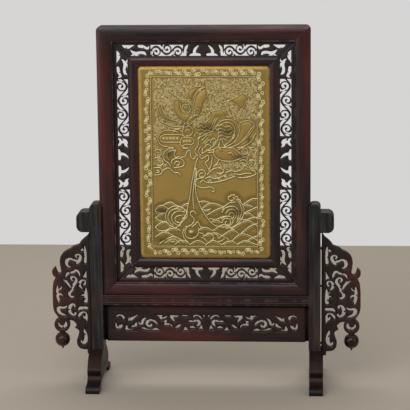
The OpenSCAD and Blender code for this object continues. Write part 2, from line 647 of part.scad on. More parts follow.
WING_LEAVES = [
    [[13, 266, 0.8], [12.5, 255, 2.8], [12, 240, 2.8], [13, 226, 3.4]],
    [[14, 260, 2.6], [19, 256, 2.6], [23, 253, 0.8]],
    [[34, 237, 2.2], [36, 242, 2], [30, 244.5, 2.4], [24, 241, 2.8], [26, 232, 3.6], [31, 225, 3.2], [34, 221, 1]],
    [[30, 227, 2], [36, 229.5, 3.2], [42, 231.5, 3], [49, 234, 3], [56.5, 230, 3.6], [58, 221, 3.6],
     [54, 215, 2.6], [50, 214.5, 2]],
    [[27, 190, 1], [29, 199, 2.8], [34, 205, 3.4], [41, 202, 3], [49, 199, 2.6], [56, 197.5, 2.8], [61, 189, 1]],
    [[43.5, 180, 1.8], [47.5, 182, 2], [48, 187, 2.4], [43, 190, 2.4], [37, 186.5, 2.6], [35.5, 179, 3],
     [41, 171, 3], [45, 163, 2.4], [45.5, 157, 2], [51, 152, 2.8], [53, 145.5, 3.2], [48, 139.5, 2.8], [43.5, 141.5, 2]],
    [[49.5, 160, 0.8], [53, 168, 2.8], [58, 175, 3.2], [64, 180, 2.4], [71, 184, 0.6]],
    [[58, 176, 2], [58, 182, 0.6]],
    [[17, 170, 2.4], [14, 174, 1.8], [15, 180, 2.2], [22, 181, 2.4], [27, 175, 2.8], [26.5, 166, 3], [21, 160, 1.6]],
    [[12, 163, 0.8], [12.5, 152, 3], [13, 140, 4], [13, 128, 3.4]],
    [[13, 142, 3.4], [19, 144.5, 2.8], [24, 142, 0.8]],
    [[14, 150, 2], [18, 152.5, 1.6], [19, 156, 0.6]],
    [[13, 129, 3], [20, 127, 0.8]],
    [[81, 168, 1], [82, 155, 3], [81.5, 140, 3.4], [79.5, 126, 1.6]],
    [[79, 158, 2], [74, 160, 1.8], [71, 166, 0.6]],
    [[80, 146, 3], [73, 146, 2.8], [69, 140, 1]],
    [[80, 136, 3], [74, 132, 1]],
    [[12, 113, 3.8], [20, 112.5, 4], [27, 112, 4], [32, 107, 1.4]],
    [[41, 116, 2.4], [42, 121, 2.4], [48, 121, 3], [53, 113, 3.6], [53, 103, 3.8], [47, 96, 3.2],
     [41, 96, 2.4], [39, 101, 2]],
    [[60, 118, 0.8], [64.5, 113.5, 2.8], [71, 113, 3.2], [79, 113, 3.6], [82, 108, 3]],
    [[81, 110, 4], [79, 102, 4.4], [71, 96.5, 3.4], [64, 94.5, 2], [59, 93.5, 0.8]],
    [[12, 79, 1], [13, 88, 2.6], [13, 97, 2.4], [17, 102, 2.2], [24, 101, 2.4], [29, 96, 3], [32, 90, 1.4]],
    [[13, 85, 2.4], [18, 88.5, 2.8], [20, 93, 1.6]],
    [[19, 61, 0.8], [17, 52, 3.4], [15, 42, 3.8], [16, 32, 4.2], [20, 26, 4], [25, 26.5, 3], [26.5, 31.5, 1.6]],
    [[63, 79, 1], [63, 71, 3.2], [68, 66, 3.6], [75, 66, 3.4], [80, 71, 2.4], [80.5, 76, 1]]
];
WING_GORES = [[10, 206, 20, 188, 10, 184]];
// Leaf points in the openings, each as [root x, y, tip x, y]
WING_POINTS = [
    [19, 238, 13, 240], [17, 262, 14.5, 256], [43, 238, 41, 232.5], [38, 197, 37, 203.5],
    [50, 195, 51, 201], [43, 208, 41.5, 203.5], [48, 166, 43.5, 167], [50, 158, 53, 151], [33, 172, 26.5, 171],
    [17, 134, 13, 136], [88, 148, 82.5, 147], [20, 106, 20, 111.5], [71, 120, 71, 114.5],
    [58, 108, 53, 108], [72, 107, 72.5, 100], [19, 98, 14, 96], [20, 47, 15.5, 46], [70, 61, 71, 67]
];
module wing_shape(s) {
    ring = arc([WING_RING[0], WING_RING[1]], WING_RING[2], RING_FROM, RING_TO, 30);
    polygon(scaled(concat(
        [for (i = [0:3]) each smooth(WING_RUNS[i])],
        smooth(concat(WING_RUNS[4], [ring[0]])),
        ring,
        [for (p = smooth(concat([ring[30]], WING_UNDER[0]))) if (p != ring[30]) p],
        smooth(WING_UNDER[1]),
        [WING_UNDER[1][7], [11, 0], [2, 0], [0, 6]]
    ), s));
}
wing_s = [wing_w / WING_DRAWN[0], wing_h / WING_DRAWN[1]];
ball_x = wing_x + WING_RING[0] * wing_s[0];
ball_top = wing_z + (WING_RING[1] - WING_RING[2]) * wing_s[1];
module ball_stud(gap) translate([ball_x, 0, ball_top - 2]) cylinder(d = 5 + 2 * gap, h = 7.5 + gap);
module wing(x) color(STAND) mirrored(x) difference() {
    translate([wing_x, 0, wing_z]) upright(wing_t) difference() {
        wing_shape(wing_s);
        piercing(WING_LEAVES, WING_GORES, WING_POINTS, wing_s);
    }
    peg_holes(fit_gap);
    ball_stud(fit_gap);
}
module wing_pegs(x) color(STAND) mirrored(x) peg_holes(0);
module drop_ball(x) color(BALL) mirrored(x) {
    r = ball_d / 2;
    translate([ball_x, 0, ball_top - r]) rotate_extrude() intersection() {
        union() {
            circle(r);
            translate([0, r - 3]) square([6, 3]);
            translate([0, -r - 6]) square([1.6, 8]);
            translate([0, -r - 2]) circle(3.2);
        }
        translate([0, -2 * r]) square([r, 4 * r]);
    }
    ball_stud(0);
}

foot(-1);  // foot_left
foot(1);  // foot_right
post(-1);  // post_left
post(1);  // post_right
ear(-1);  // ear_left
ear(1);  // ear_right
seat_rail();
apron();
wing(-1);  // wing_left
wing(1);  // wing_right
wing_pegs(-1);  // wing_pegs_left
wing_pegs(1);  // wing_pegs_right
drop_ball(-1);  // drop_ball_left
drop_ball(1);  // drop_ball_right
frame_rail(1);  // frame_top
frame_rail(-1);  // frame_bottom
frame_stile(-1);  // frame_left
frame_stile(1);  // frame_right
fret(0, scrolls_across);  // fret_top
fret(180, scrolls_across);  // fret_bottom
fret(270, scrolls_up);  // fret_left
fret(90, scrolls_up);  // fret_right
inner_rail(1);  // inner_top
inner_rail(-1);  // inner_bottom
inner_stile(-1);  // inner_left
inner_stile(1);  // inner_right
core_board();
plaque();
color(BRASS) pins(0);  // panel_pins
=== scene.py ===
# A carved table screen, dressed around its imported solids: worn bars, pierced boards with rounded
# carving, and an embossed brass sheet. Everything is in metres: X across, Y to the back, Z up.
# What is drawn on a flat face is in millimetres: across, and up.
import itertools
import math

import bmesh
import bpy
import numpy as np
from mathutils import Matrix, Vector
from mathutils.bvhtree import BVHTree
from mathutils.geometry import delaunay_2d_cdt
from mathutils.kdtree import KDTree


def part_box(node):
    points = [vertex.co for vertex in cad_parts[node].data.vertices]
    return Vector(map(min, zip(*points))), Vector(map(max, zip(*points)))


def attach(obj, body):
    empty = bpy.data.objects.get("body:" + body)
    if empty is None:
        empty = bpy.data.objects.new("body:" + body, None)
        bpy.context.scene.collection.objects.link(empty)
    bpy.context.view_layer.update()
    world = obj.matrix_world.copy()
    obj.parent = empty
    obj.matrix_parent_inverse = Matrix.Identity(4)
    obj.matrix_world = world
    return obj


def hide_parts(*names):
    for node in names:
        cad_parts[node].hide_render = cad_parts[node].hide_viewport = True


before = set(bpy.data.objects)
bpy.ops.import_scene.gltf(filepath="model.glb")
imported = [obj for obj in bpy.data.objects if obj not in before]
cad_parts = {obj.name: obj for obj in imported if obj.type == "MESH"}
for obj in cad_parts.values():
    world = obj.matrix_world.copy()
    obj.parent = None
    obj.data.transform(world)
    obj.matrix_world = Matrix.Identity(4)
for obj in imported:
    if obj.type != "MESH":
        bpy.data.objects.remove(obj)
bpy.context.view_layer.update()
MM = 0.001
# Corners nearer than this are one corner, and those this near to a cutting plane are on it
WELD = 0.002 * MM
ON_PLANE = 0.01 * MM

# Bars: the worn arris, how finely a bar is sliced so that wear follows its edges, and how far
# from an edge wear and the painted corner shade are felt
ARRIS = 0.8 * MM
SLICE = 8 * MM
FELT = 14 * MM
# An edge is felt from points a step apart. It is sharp past the first angle, and none under the second.
EDGE_STEP = 3 * MM
SHARP = math.radians(28)
FLAT = math.radians(0.4)
# How far the grain moves from one piece to the next: along it, and the two ways across it
GRAIN_SHIFT = np.array([0.37, 1.31, 0.73])

# Pierced boards: the rounding of every cut edge, the soft crown of the wood between the cuts,
# and the spacing of the carved surface's points near the cuts and away from them
CUT_ROUND = 1.0
CROWN = 0.9
CROWN_REACH = 7.0
FINE = 1.3
COARSE = 4.0
# The first row of points beside a cut, the least gap between points, and their spacing along a cut
FIRST_ROW = 0.55 * FINE
LEAST_GAP = 0.6
CUT_STEP = 0.5
# A face is a board's front or back if it looks straight out and lies this near to its depth
STRAIGHT_OUT = 0.99
ON_FACE = 0.05 * MM
BOARD_SHARP = math.radians(50)
# Grooves beside the mitres: half their width, their depth, how clear they keep of a cut, the spacing
# of their points, their places along the board, and how far they stop short of either frame
GROOVE_HALF = 0.7
GROOVE_DEPTH = 0.7
GROOVE_CLEAR = 0.5
GROOVE_STEP = 1.2
GROOVE_SHIFTS = (4, 8, 12)
FROM_INNER = 4
FROM_OUTER = 6


# Meshes


def new_piece(name, mesh, material, body):
    """A finished piece at the origin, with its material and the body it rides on."""
    piece = bpy.data.objects.new(name, mesh)
    bpy.context.scene.collection.objects.link(piece)
    mesh.materials.clear()
    mesh.materials.append(material)
    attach(piece, body)
    return piece


def mark(mesh, name, values):
    """Stores a number, or a vector, for each vertex, for the materials to read."""
    values = np.asarray(values, np.float32)
    kind, field = ("FLOAT", "value") if values.ndim == 1 else ("FLOAT_VECTOR", "vector")
    mesh.attributes.new(name, kind, "POINT").data.foreach_set(field, values.ravel())


def places(mesh):
    """The place of each vertex."""
    co = np.zeros(len(mesh.vertices) * 3, np.float32)
    mesh.vertices.foreach_get("co", co)
    return co.reshape(-1, 3)


def shade(mesh, angle):
    """Smooth faces, with the edges past the angle kept crisp."""
    mesh.shade_smooth()
    mesh.set_sharp_from_angle(angle=angle)


def solid(node):
    """A node's solid as one closed mesh."""
    bm = bmesh.new()
    bm.from_mesh(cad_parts[node].data)
    bmesh.ops.remove_doubles(bm, verts=bm.verts, dist=WELD)
    return bm


def plain_mesh(bm, name):
    """A plain mesh of what was built, which is then let go."""
    mesh = bpy.data.meshes.new(name)
    bm.to_mesh(mesh)
    bm.free()
    return mesh


def tree_of(points):
    """A tree that finds the nearest of the points."""
    tree = KDTree(len(points))
    for i, p in enumerate(points):
        tree.insert(p, i)
    tree.balance()
    return tree


def grain_places(co, along, number):
    """The vertices' places with the grain's direction first, moved so that no two pieces match."""
    order = [along] + [a for a in range(3) if a != along]
    return co[:, order] + GRAIN_SHIFT * number


def arris_points(bm, convex):
    """Points along the sharp edges that stand out, or along those that turn in."""
    points = []
    for e in bm.edges:
        if len(e.link_faces) != 2 or e.calc_face_angle() < SHARP or e.is_convex != convex:
            continue
        a, b = e.verts[0].co, e.verts[1].co
        steps = max(1, int((b - a).length / EDGE_STEP))
        points += [a.lerp(b, i / steps) for i in range(steps + 1)]
    return points


def from_edges(co, points):
    """How far each place is from the nearest of the points: 0 on it, 1 at FELT or beyond."""
    if not points:
        return np.ones(len(co))
    tree = tree_of(points)
    return np.array([min(tree.find(p)[2], FELT) for p in co]) / FELT


def from_rims(co, rims):
    """How far each place on a board is from the bars that meet it: 0 against one, 1 at FELT or beyond."""
    x, z = co[:, 0], co[:, 2]
    away = [abs(np.maximum(abs(x) - half_w, abs(z - mid) - half_h)) for half_w, half_h, mid in rims]
    return np.clip(np.min(away, axis=0) / FELT, 0, 1)


# Places rubbed red: across, up, half width, half height, and how strongly
HANDLED = {
    "screen": [
        (-243, 620, 12, 240, 0.95), (98, 852, 150, 10, 0.5), (-6, 859, 240, 5, 0.6),
        (243, 699, 12, 115, 0.95), (225, 354, 7, 97, 0.4), (-120, 254, 120, 6, 0.9),
        (-132, 233, 95, 12, 0.45), (-7, 782, 130, 8, 0.4), (0, 788, 60, 25, 0.5),
        (-168, 640, 12, 120, 0.35), (-221, 540, 9, 260, 0.3), (222, 590, 9, 200, 0.25),
    ],
    "stand": [
        (-37, 207, 150, 14, 0.8), (-14, 120, 112, 18, 0.55), (-86, 142, 83, 36, 0.45),
        (-366, 226, 12, 66, 0.7), (-345, 205, 28, 36, 0.6), (-334, 274, 24, 19, 0.5),
        (363, 234, 12, 66, 0.9), (344, 272, 14, 19, 0.5), (264, 122, 7, 42, 1.0),
        (-268, 50, 30, 26, 0.5), (266, 44, 26, 20, 0.5), (-352, 92, 14, 30, 0.9),
        (340, 86, 9, 12, 0.1), (0, 206, 250, 14, 0.3),
    ],
}


def handled(co, body):
    """How far the dark finish has been rubbed thin at each place."""
    x, z = co[:, 0] / MM, co[:, 2] / MM
    return np.clip(sum(
        much * np.exp(-(((x - across) / wide) ** 2) - ((z - up) / high) ** 2)
        for across, up, wide, high, much in HANDLED[body]
    ), 0, 1)


# Each wooden piece has a number, in the order of making, so that its grain is its own
number_of = itertools.count(1)


def wooden_piece(name, node, mesh, material, body, along, edge, corner, sharp):
    """A wooden piece in its solid's place, with what its finish reads marked on each vertex."""
    co = places(mesh)
    mark(mesh, "from_edge", edge)
    # The distance from inner corners and meeting bars, which the painted corner shade reads
    mark(mesh, "from_corner", corner)
    mark(mesh, "handled", handled(co, body))
    mark(mesh, "grain", grain_places(co, along, next(number_of)))
    shade(mesh, sharp)
    piece = new_piece(name, mesh, material, body)
    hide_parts(node)
    return piece


def worn_bar(name, node, material, body, along):
    """A bar with its arrises rubbed round, sliced finely enough for wear to follow its edges."""
    bm = solid(node)
    bmesh.ops.dissolve_limit(bm, angle_limit=FLAT, verts=bm.verts, edges=bm.edges)
    bm.normal_update()
    out, into = arris_points(bm, True), arris_points(bm, False)
    sharp = [e for e in bm.edges if len(e.link_faces) == 2 and e.calc_face_angle() > SHARP and e.is_convex]
    bmesh.ops.bevel(
        bm, geom=sharp, offset=ARRIS, offset_type="OFFSET", segments=2, profile=0.6,
        affect="EDGES", clamp_overlap=True,
    )
    low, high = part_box(node)
    for axis in range(3):
        way = Vector((axis == 0, axis == 1, axis == 2))
        cuts = int((high[axis] - low[axis]) / SLICE)
        for i in range(1, cuts + 1):
            at = Vector(low) + way * (i * (high[axis] - low[axis]) / (cuts + 1))
            everything = bm.verts[:] + bm.edges[:] + bm.faces[:]
            bmesh.ops.bisect_plane(bm, geom=everything, dist=ON_PLANE, plane_co=at, plane_no=way)
    mesh = plain_mesh(bm, name)
    co = places(mesh)
    # Edges that turn in give the distance for the painted shade in the corners
    piece = wooden_piece(
        name, node, mesh, material, body, along, from_edges(co, out), from_edges(co, into), SHARP)
    even = piece.modifiers.new("even shading", "WEIGHTED_NORMAL")
    even.keep_sharp = True
    even.weight = 90


# Lines drawn on a flat face

# Straight steps in the curve between two given points
CURVE_STEPS = 12
# The rows of a grid of even triangles, as a share of its pitch
ROW_STEP = 0.866
# Points nearer than this are one point, and nothing is divided by less than the second number
SAME_SPOT = 1e-4
LEAST_DIVISOR = 1e-12


def line_of(points, step):
    """A smooth line through given points, with its own points a step apart."""
    p = np.array([points[0], *points, points[-1]], float)
    t = np.linspace(0, 1, CURVE_STEPS, endpoint=False)[:, None]
    runs = []
    for a, b, c, d in zip(p, p[1:], p[2:], p[3:]):
        runs.append(0.5 * (2 * b + (c - a) * t + (2 * a - 5 * b + 4 * c - d) * t**2
                           + (3 * b - a - 3 * c + d) * t**3))
    fine = np.vstack(runs + [p[-1:]])
    far = np.concatenate([[0], np.cumsum(np.hypot(*np.diff(fine, axis=0).T))])
    even = np.linspace(0, far[-1], max(2, int(round(far[-1] / step)) + 1))
    return np.column_stack([np.interp(even, far, fine[:, i]) for i in (0, 1)])


def straight(a, b, step):
    """A straight line between two points, with its own points a step apart."""
    return line_of([a, ((a[0] + b[0]) / 2, (a[1] + b[1]) / 2), b], step)


def beside(line, away):
    """The line moved sideways by a distance."""
    run = np.gradient(line, axis=0)
    run /= np.hypot(*run.T)[:, None]
    return line + np.column_stack([-run[:, 1], run[:, 0]]) * away


def from_line(points, line):
    """Each point's distance from a line."""
    a, b = line[:-1], line[1:]
    run = b - a
    t = ((points[:, None] - a) * run).sum(2) / np.maximum((run**2).sum(1), LEAST_DIVISOR)
    near = a + np.clip(t, 0, 1)[..., None] * run
    return np.hypot(*(points[:, None] - near).transpose(2, 0, 1)).min(1)


def within(points, low, high):
    """The numbers of the points that are inside a rectangle."""
    return np.flatnonzero(((points > low) & (points < high)).all(1))


def ridges_at(points, lines, half):
    """The height, 0 to 1, of rounded ridges of a half width along the lines."""
    height = np.zeros(len(points))
    for line in lines:
        near = within(points, line.min(0) - half, line.max(0) + half)
        if len(near):
            away = from_line(points[near], line) / half
            height[near] = np.maximum(height[near], np.clip(1 - away**2, 0, 1))
    return height


def thinned(points, spacing):
    """The points in order, without any that stand too near to an earlier one."""
    kept, cells = [], {}
    for p in points:
        x, y = int(p[0] // spacing), int(p[1] // spacing)
        around = [q for i in (-1, 0, 1) for j in (-1, 0, 1) for q in cells.get((x + i, y + j), ())]
        if all((p[0] - q[0]) ** 2 + (p[1] - q[1]) ** 2 >= spacing**2 for q in around):
            cells.setdefault((x, y), []).append(p)
            kept.append(p)
    return np.array(kept)


def hex_grid(low, high, pitch):
    """Rows of points between two corners, every other row moved sideways by half the pitch."""
    rows = np.arange(low[1] + pitch / 2, high[1], pitch * ROW_STEP)
    columns = np.arange(low[0], high[0], pitch)
    return np.array([(x + (i % 2) * pitch / 2, y) for i, y in enumerate(rows) for x in columns])


def in_outline(points, corners):
    """Whether each point is inside a closed outline."""
    corners = np.asarray(corners, float)
    x, y = points[:, 0], points[:, 1]
    inside = np.zeros(len(points), bool)
    for (ax, ay), (bx, by) in zip(corners, np.roll(corners, -1, axis=0)):
        crosses = (ay > y) != (by > y)
        rise = by - ay if by != ay else LEAST_DIVISOR
        inside ^= crosses & (x < ax + (y - ay) * (bx - ax) / rise)
    return inside


# Pierced boards


def carve_face(bm, side, depth, grooves):
    """Rounds one flat face of a pierced board: side is -1 at the front and 1 at the back."""
    flat = [
        f for f in bm.faces
        if f.normal.y * side > STRAIGHT_OUT and abs(f.verts[0].co.y * side - depth) < ON_FACE
    ]
    chosen = set(flat)
    rim = [e for e in bm.edges if sum(f in chosen for f in e.link_faces) == 1]
    corners = list({v for e in rim for v in e.verts})
    number = {v: i for i, v in enumerate(corners)}
    outline = np.array([(v.co.x, v.co.z) for v in corners]) / MM
    inside = BVHTree.FromPolygons(
        [(v.co.x / MM, v.co.z / MM, 0) for f in flat for v in f.verts],
        [(3 * i, 3 * i + 1, 3 * i + 2) for i in range(len(flat))],
    )
    samples = []
    for e in rim:
        a, b = (outline[number[v]] for v in e.verts)
        steps = max(1, int(np.hypot(*(b - a)) / CUT_STEP))
        samples += [a + (b - a) * i / steps for i in range(steps)]
    edge_tree = tree_of([(x, z, 0) for x, z in samples])

    def is_in(x, z):
        """Whether a place is on the wood."""
        return inside.ray_cast((x, z, 1), (0, 0, -1))[0] is not None

    def away(x, z):
        """How far a place is from the nearest cut."""
        return edge_tree.find((x, z, 0))[2]

    low, high = outline.min(0), outline.max(0)
    spots = [p for g in grooves for s in (0, -1, 1) for p in beside(g, s * GROOVE_HALF)]
    spots = [p for p in spots if is_in(*p) and away(*p) > GROOVE_CLEAR]
    for pitch, near, far in ((FINE, FIRST_ROW, CROWN_REACH), (COARSE, CROWN_REACH, math.inf)):
        spots += [p for p in hex_grid(low, high, pitch) if near < away(*p) <= far and is_in(*p)]
    spots = thinned(spots, LEAST_GAP)
    lines = [(number[e.verts[0]], number[e.verts[1]]) for e in rim]
    flat_places = [Vector(p) for p in outline] + [Vector(p) for p in spots]
    out, _, tris, origins, _, _ = delaunay_2d_cdt(flat_places, lines, [], 0, SAME_SPOT)
    out = np.array([tuple(p) for p in out])
    far = np.array([away(*p) for p in out])
    rounding = CUT_ROUND - np.sqrt(np.clip(CUT_ROUND**2 - (CUT_ROUND - far) ** 2, 0, None))
    drop = np.where(far < CUT_ROUND, rounding, 0)
    drop = drop + CROWN * np.clip(1 - far / CROWN_REACH, 0, 1) ** 2
    drop = drop + GROOVE_DEPTH * ridges_at(out, grooves, GROOVE_HALF)
    bmesh.ops.delete(bm, geom=flat, context="FACES_ONLY")
    made = []
    for i, (x, z) in enumerate(out):
        y = side * (depth - drop[i] * MM)
        known = [k for k in origins[i] if k < len(corners)]
        if known:
            vert = corners[known[0]]
            vert.co.y = y
        else:
            vert = bm.verts.new((x * MM, y, z * MM))
        made.append(vert)
    for tri in tris:
        if not is_in(*out[list(tri)].mean(0)):
            continue
        verts = [made[i] for i in (tri if side < 0 else reversed(tri))]
        if len(set(verts)) == 3 and not bm.faces.get(verts):
            bm.faces.new(verts)
    return edge_tree


def pierced_board(name, node, material, body, along, grooves=(), rims=()):
    """A flat board with its cut edges rounded and the wood between them softly crowned."""
    bm = solid(node)
    low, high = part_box(node)
    depth = max(-low.y, high.y)
    for side in (-1, 1):
        bm.normal_update()
        edge_tree = carve_face(bm, side, depth, grooves)
    bmesh.ops.remove_doubles(bm, verts=bm.verts, dist=WELD)
    mesh = plain_mesh(bm, name)
    co = places(mesh)
    edge = [min(edge_tree.find((x / MM, z / MM, 0))[2] * MM, FELT) / FELT for x, _, z in co]
    # The distance from the bars that meet the board, for the painted shade along them
    corner = from_rims(co, rims) if rims else np.ones(len(co))
    wooden_piece(name, node, mesh, material, body, along, edge, corner, BOARD_SHARP)


# The brass sheet

# Its relief is drawn across from the middle line, and up from the sheet's lower edge
sheet_low, sheet_high = (Vector(c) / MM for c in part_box("plaque"))
SHEET_W = sheet_high.x - sheet_low.x
SHEET_H = sheet_high.z - sheet_low.z
SHEET_DEEP = sheet_high.y - sheet_low.y
SHEET_FACE = sheet_low.y
SHEET_BOTTOM = sheet_low.z
# The rolled edge, how far back it lies where it counts as fully rolled, how far in it is turned, and
# the sheet's thickness
SHEET_ROLL = 9.0
FULLY_BACK = 2.0
TURNED_IN = 0.05
SHEET_THICK = 1.2
# The sheet's rounded corners: radius, the least radius when they are drawn in, and points
SHEET_CORNER = 11.0
LEAST_CORNER = 2.0
CORNER_POINTS = 7
SHEET_SHARP = math.radians(60)
# Each line is a ridge with a hollow on both sides, and each raised form swells in from its outline
RIDGE_HALF = 1.35
RIDGE_HIGH = 0.7
HOLLOW_REACH = 4.5
HOLLOW_DEEP = 0.2
SWELL_HIGH = 1.2
SWELL_RISE = 9.0
# The rule round the picture: its corners, and the gap between its two lines
RULES = [(-125, 30), (125, 30), (125, 436), (-125, 436)]
RULE_GAP = 4.0
# How dark the ground is in the clouds, among the waves, up to a reach from their lines, and in the border
CLOUD_DARK = 0.46
WAVE_DARK = 0.66
WAVE_REACH = 11.0
BORDER_DARK = 0.45
# A second, finer line under the crest of each wave
ECHO_BELOW = 3.7
ECHO_HALF = 0.95
ECHO_HIGH = 0.6
ECHO_BRIGHT = 0.6
# How bright the ridges are rubbed: in the waves, in the clouds, and on the two lines of the rule
BRIGHT_WAVES = 1.0
BRIGHT_CLOUDS = 0.6
BRIGHT_RULES = (0.6, 0.3)
# The heights between which the waves' brightness passes into that of the clouds
WAVES_TO_CLOUDS = (235, 300)
# The spacing of the face's points: on a stroke, on the outline of a raised form, on the rule, on the
# rings inside the rolled edge, on the ground, which begins some way in, and the least of all
STROKE_STEP = 1.4
OUTLINE_STEP = 2.0
RULE_STEP = 2.5
RING_STEP = 5.0
RING_INSETS = (0.5, 1.5, 3, 5, 7, 9, 10.5)
GROUND_PITCH = 3.4
GROUND_INSET = 10
LEAST_APART = 0.75
# How many points the rim has, how clear the others keep of it, and the rings of the turned back
RIM_POINTS = 320
RIM_CLEAR = 0.4
BACK_INSETS = (0.6, 2.5, 5, SHEET_ROLL)
# Old stains: across, up, half width and half height
STAINS = [
    (9, 315, 19, 9), (55, 306, 15, 10), (-84, 254, 9, 9), (85, 247, 19, 5), (105, 287, 5, 11),
    (-104, 116, 15, 9), (74, 114, 17, 11), (-101, 46, 15, 5), (-30, 60, 8, 5), (-45, 322, 8, 5),
]
# Beads: across, up, radius, and how bright they are rubbed. Each has rings of points inside it.
BEADS = [(x, 290, 2.8, 0.55) for x in (-96, -87.5, -79.5, -71.5, -63.5)]
BEADS += [(x, 283.5, 2.6, 0.55) for x in (-47.5, -40.5, -33.5)]
BEADS += [(-33, 65, 4.5, 1.0)]
BEAD_RINGS = (0, 0.5, 0.85, 1)
BEAD_POINTS = 10

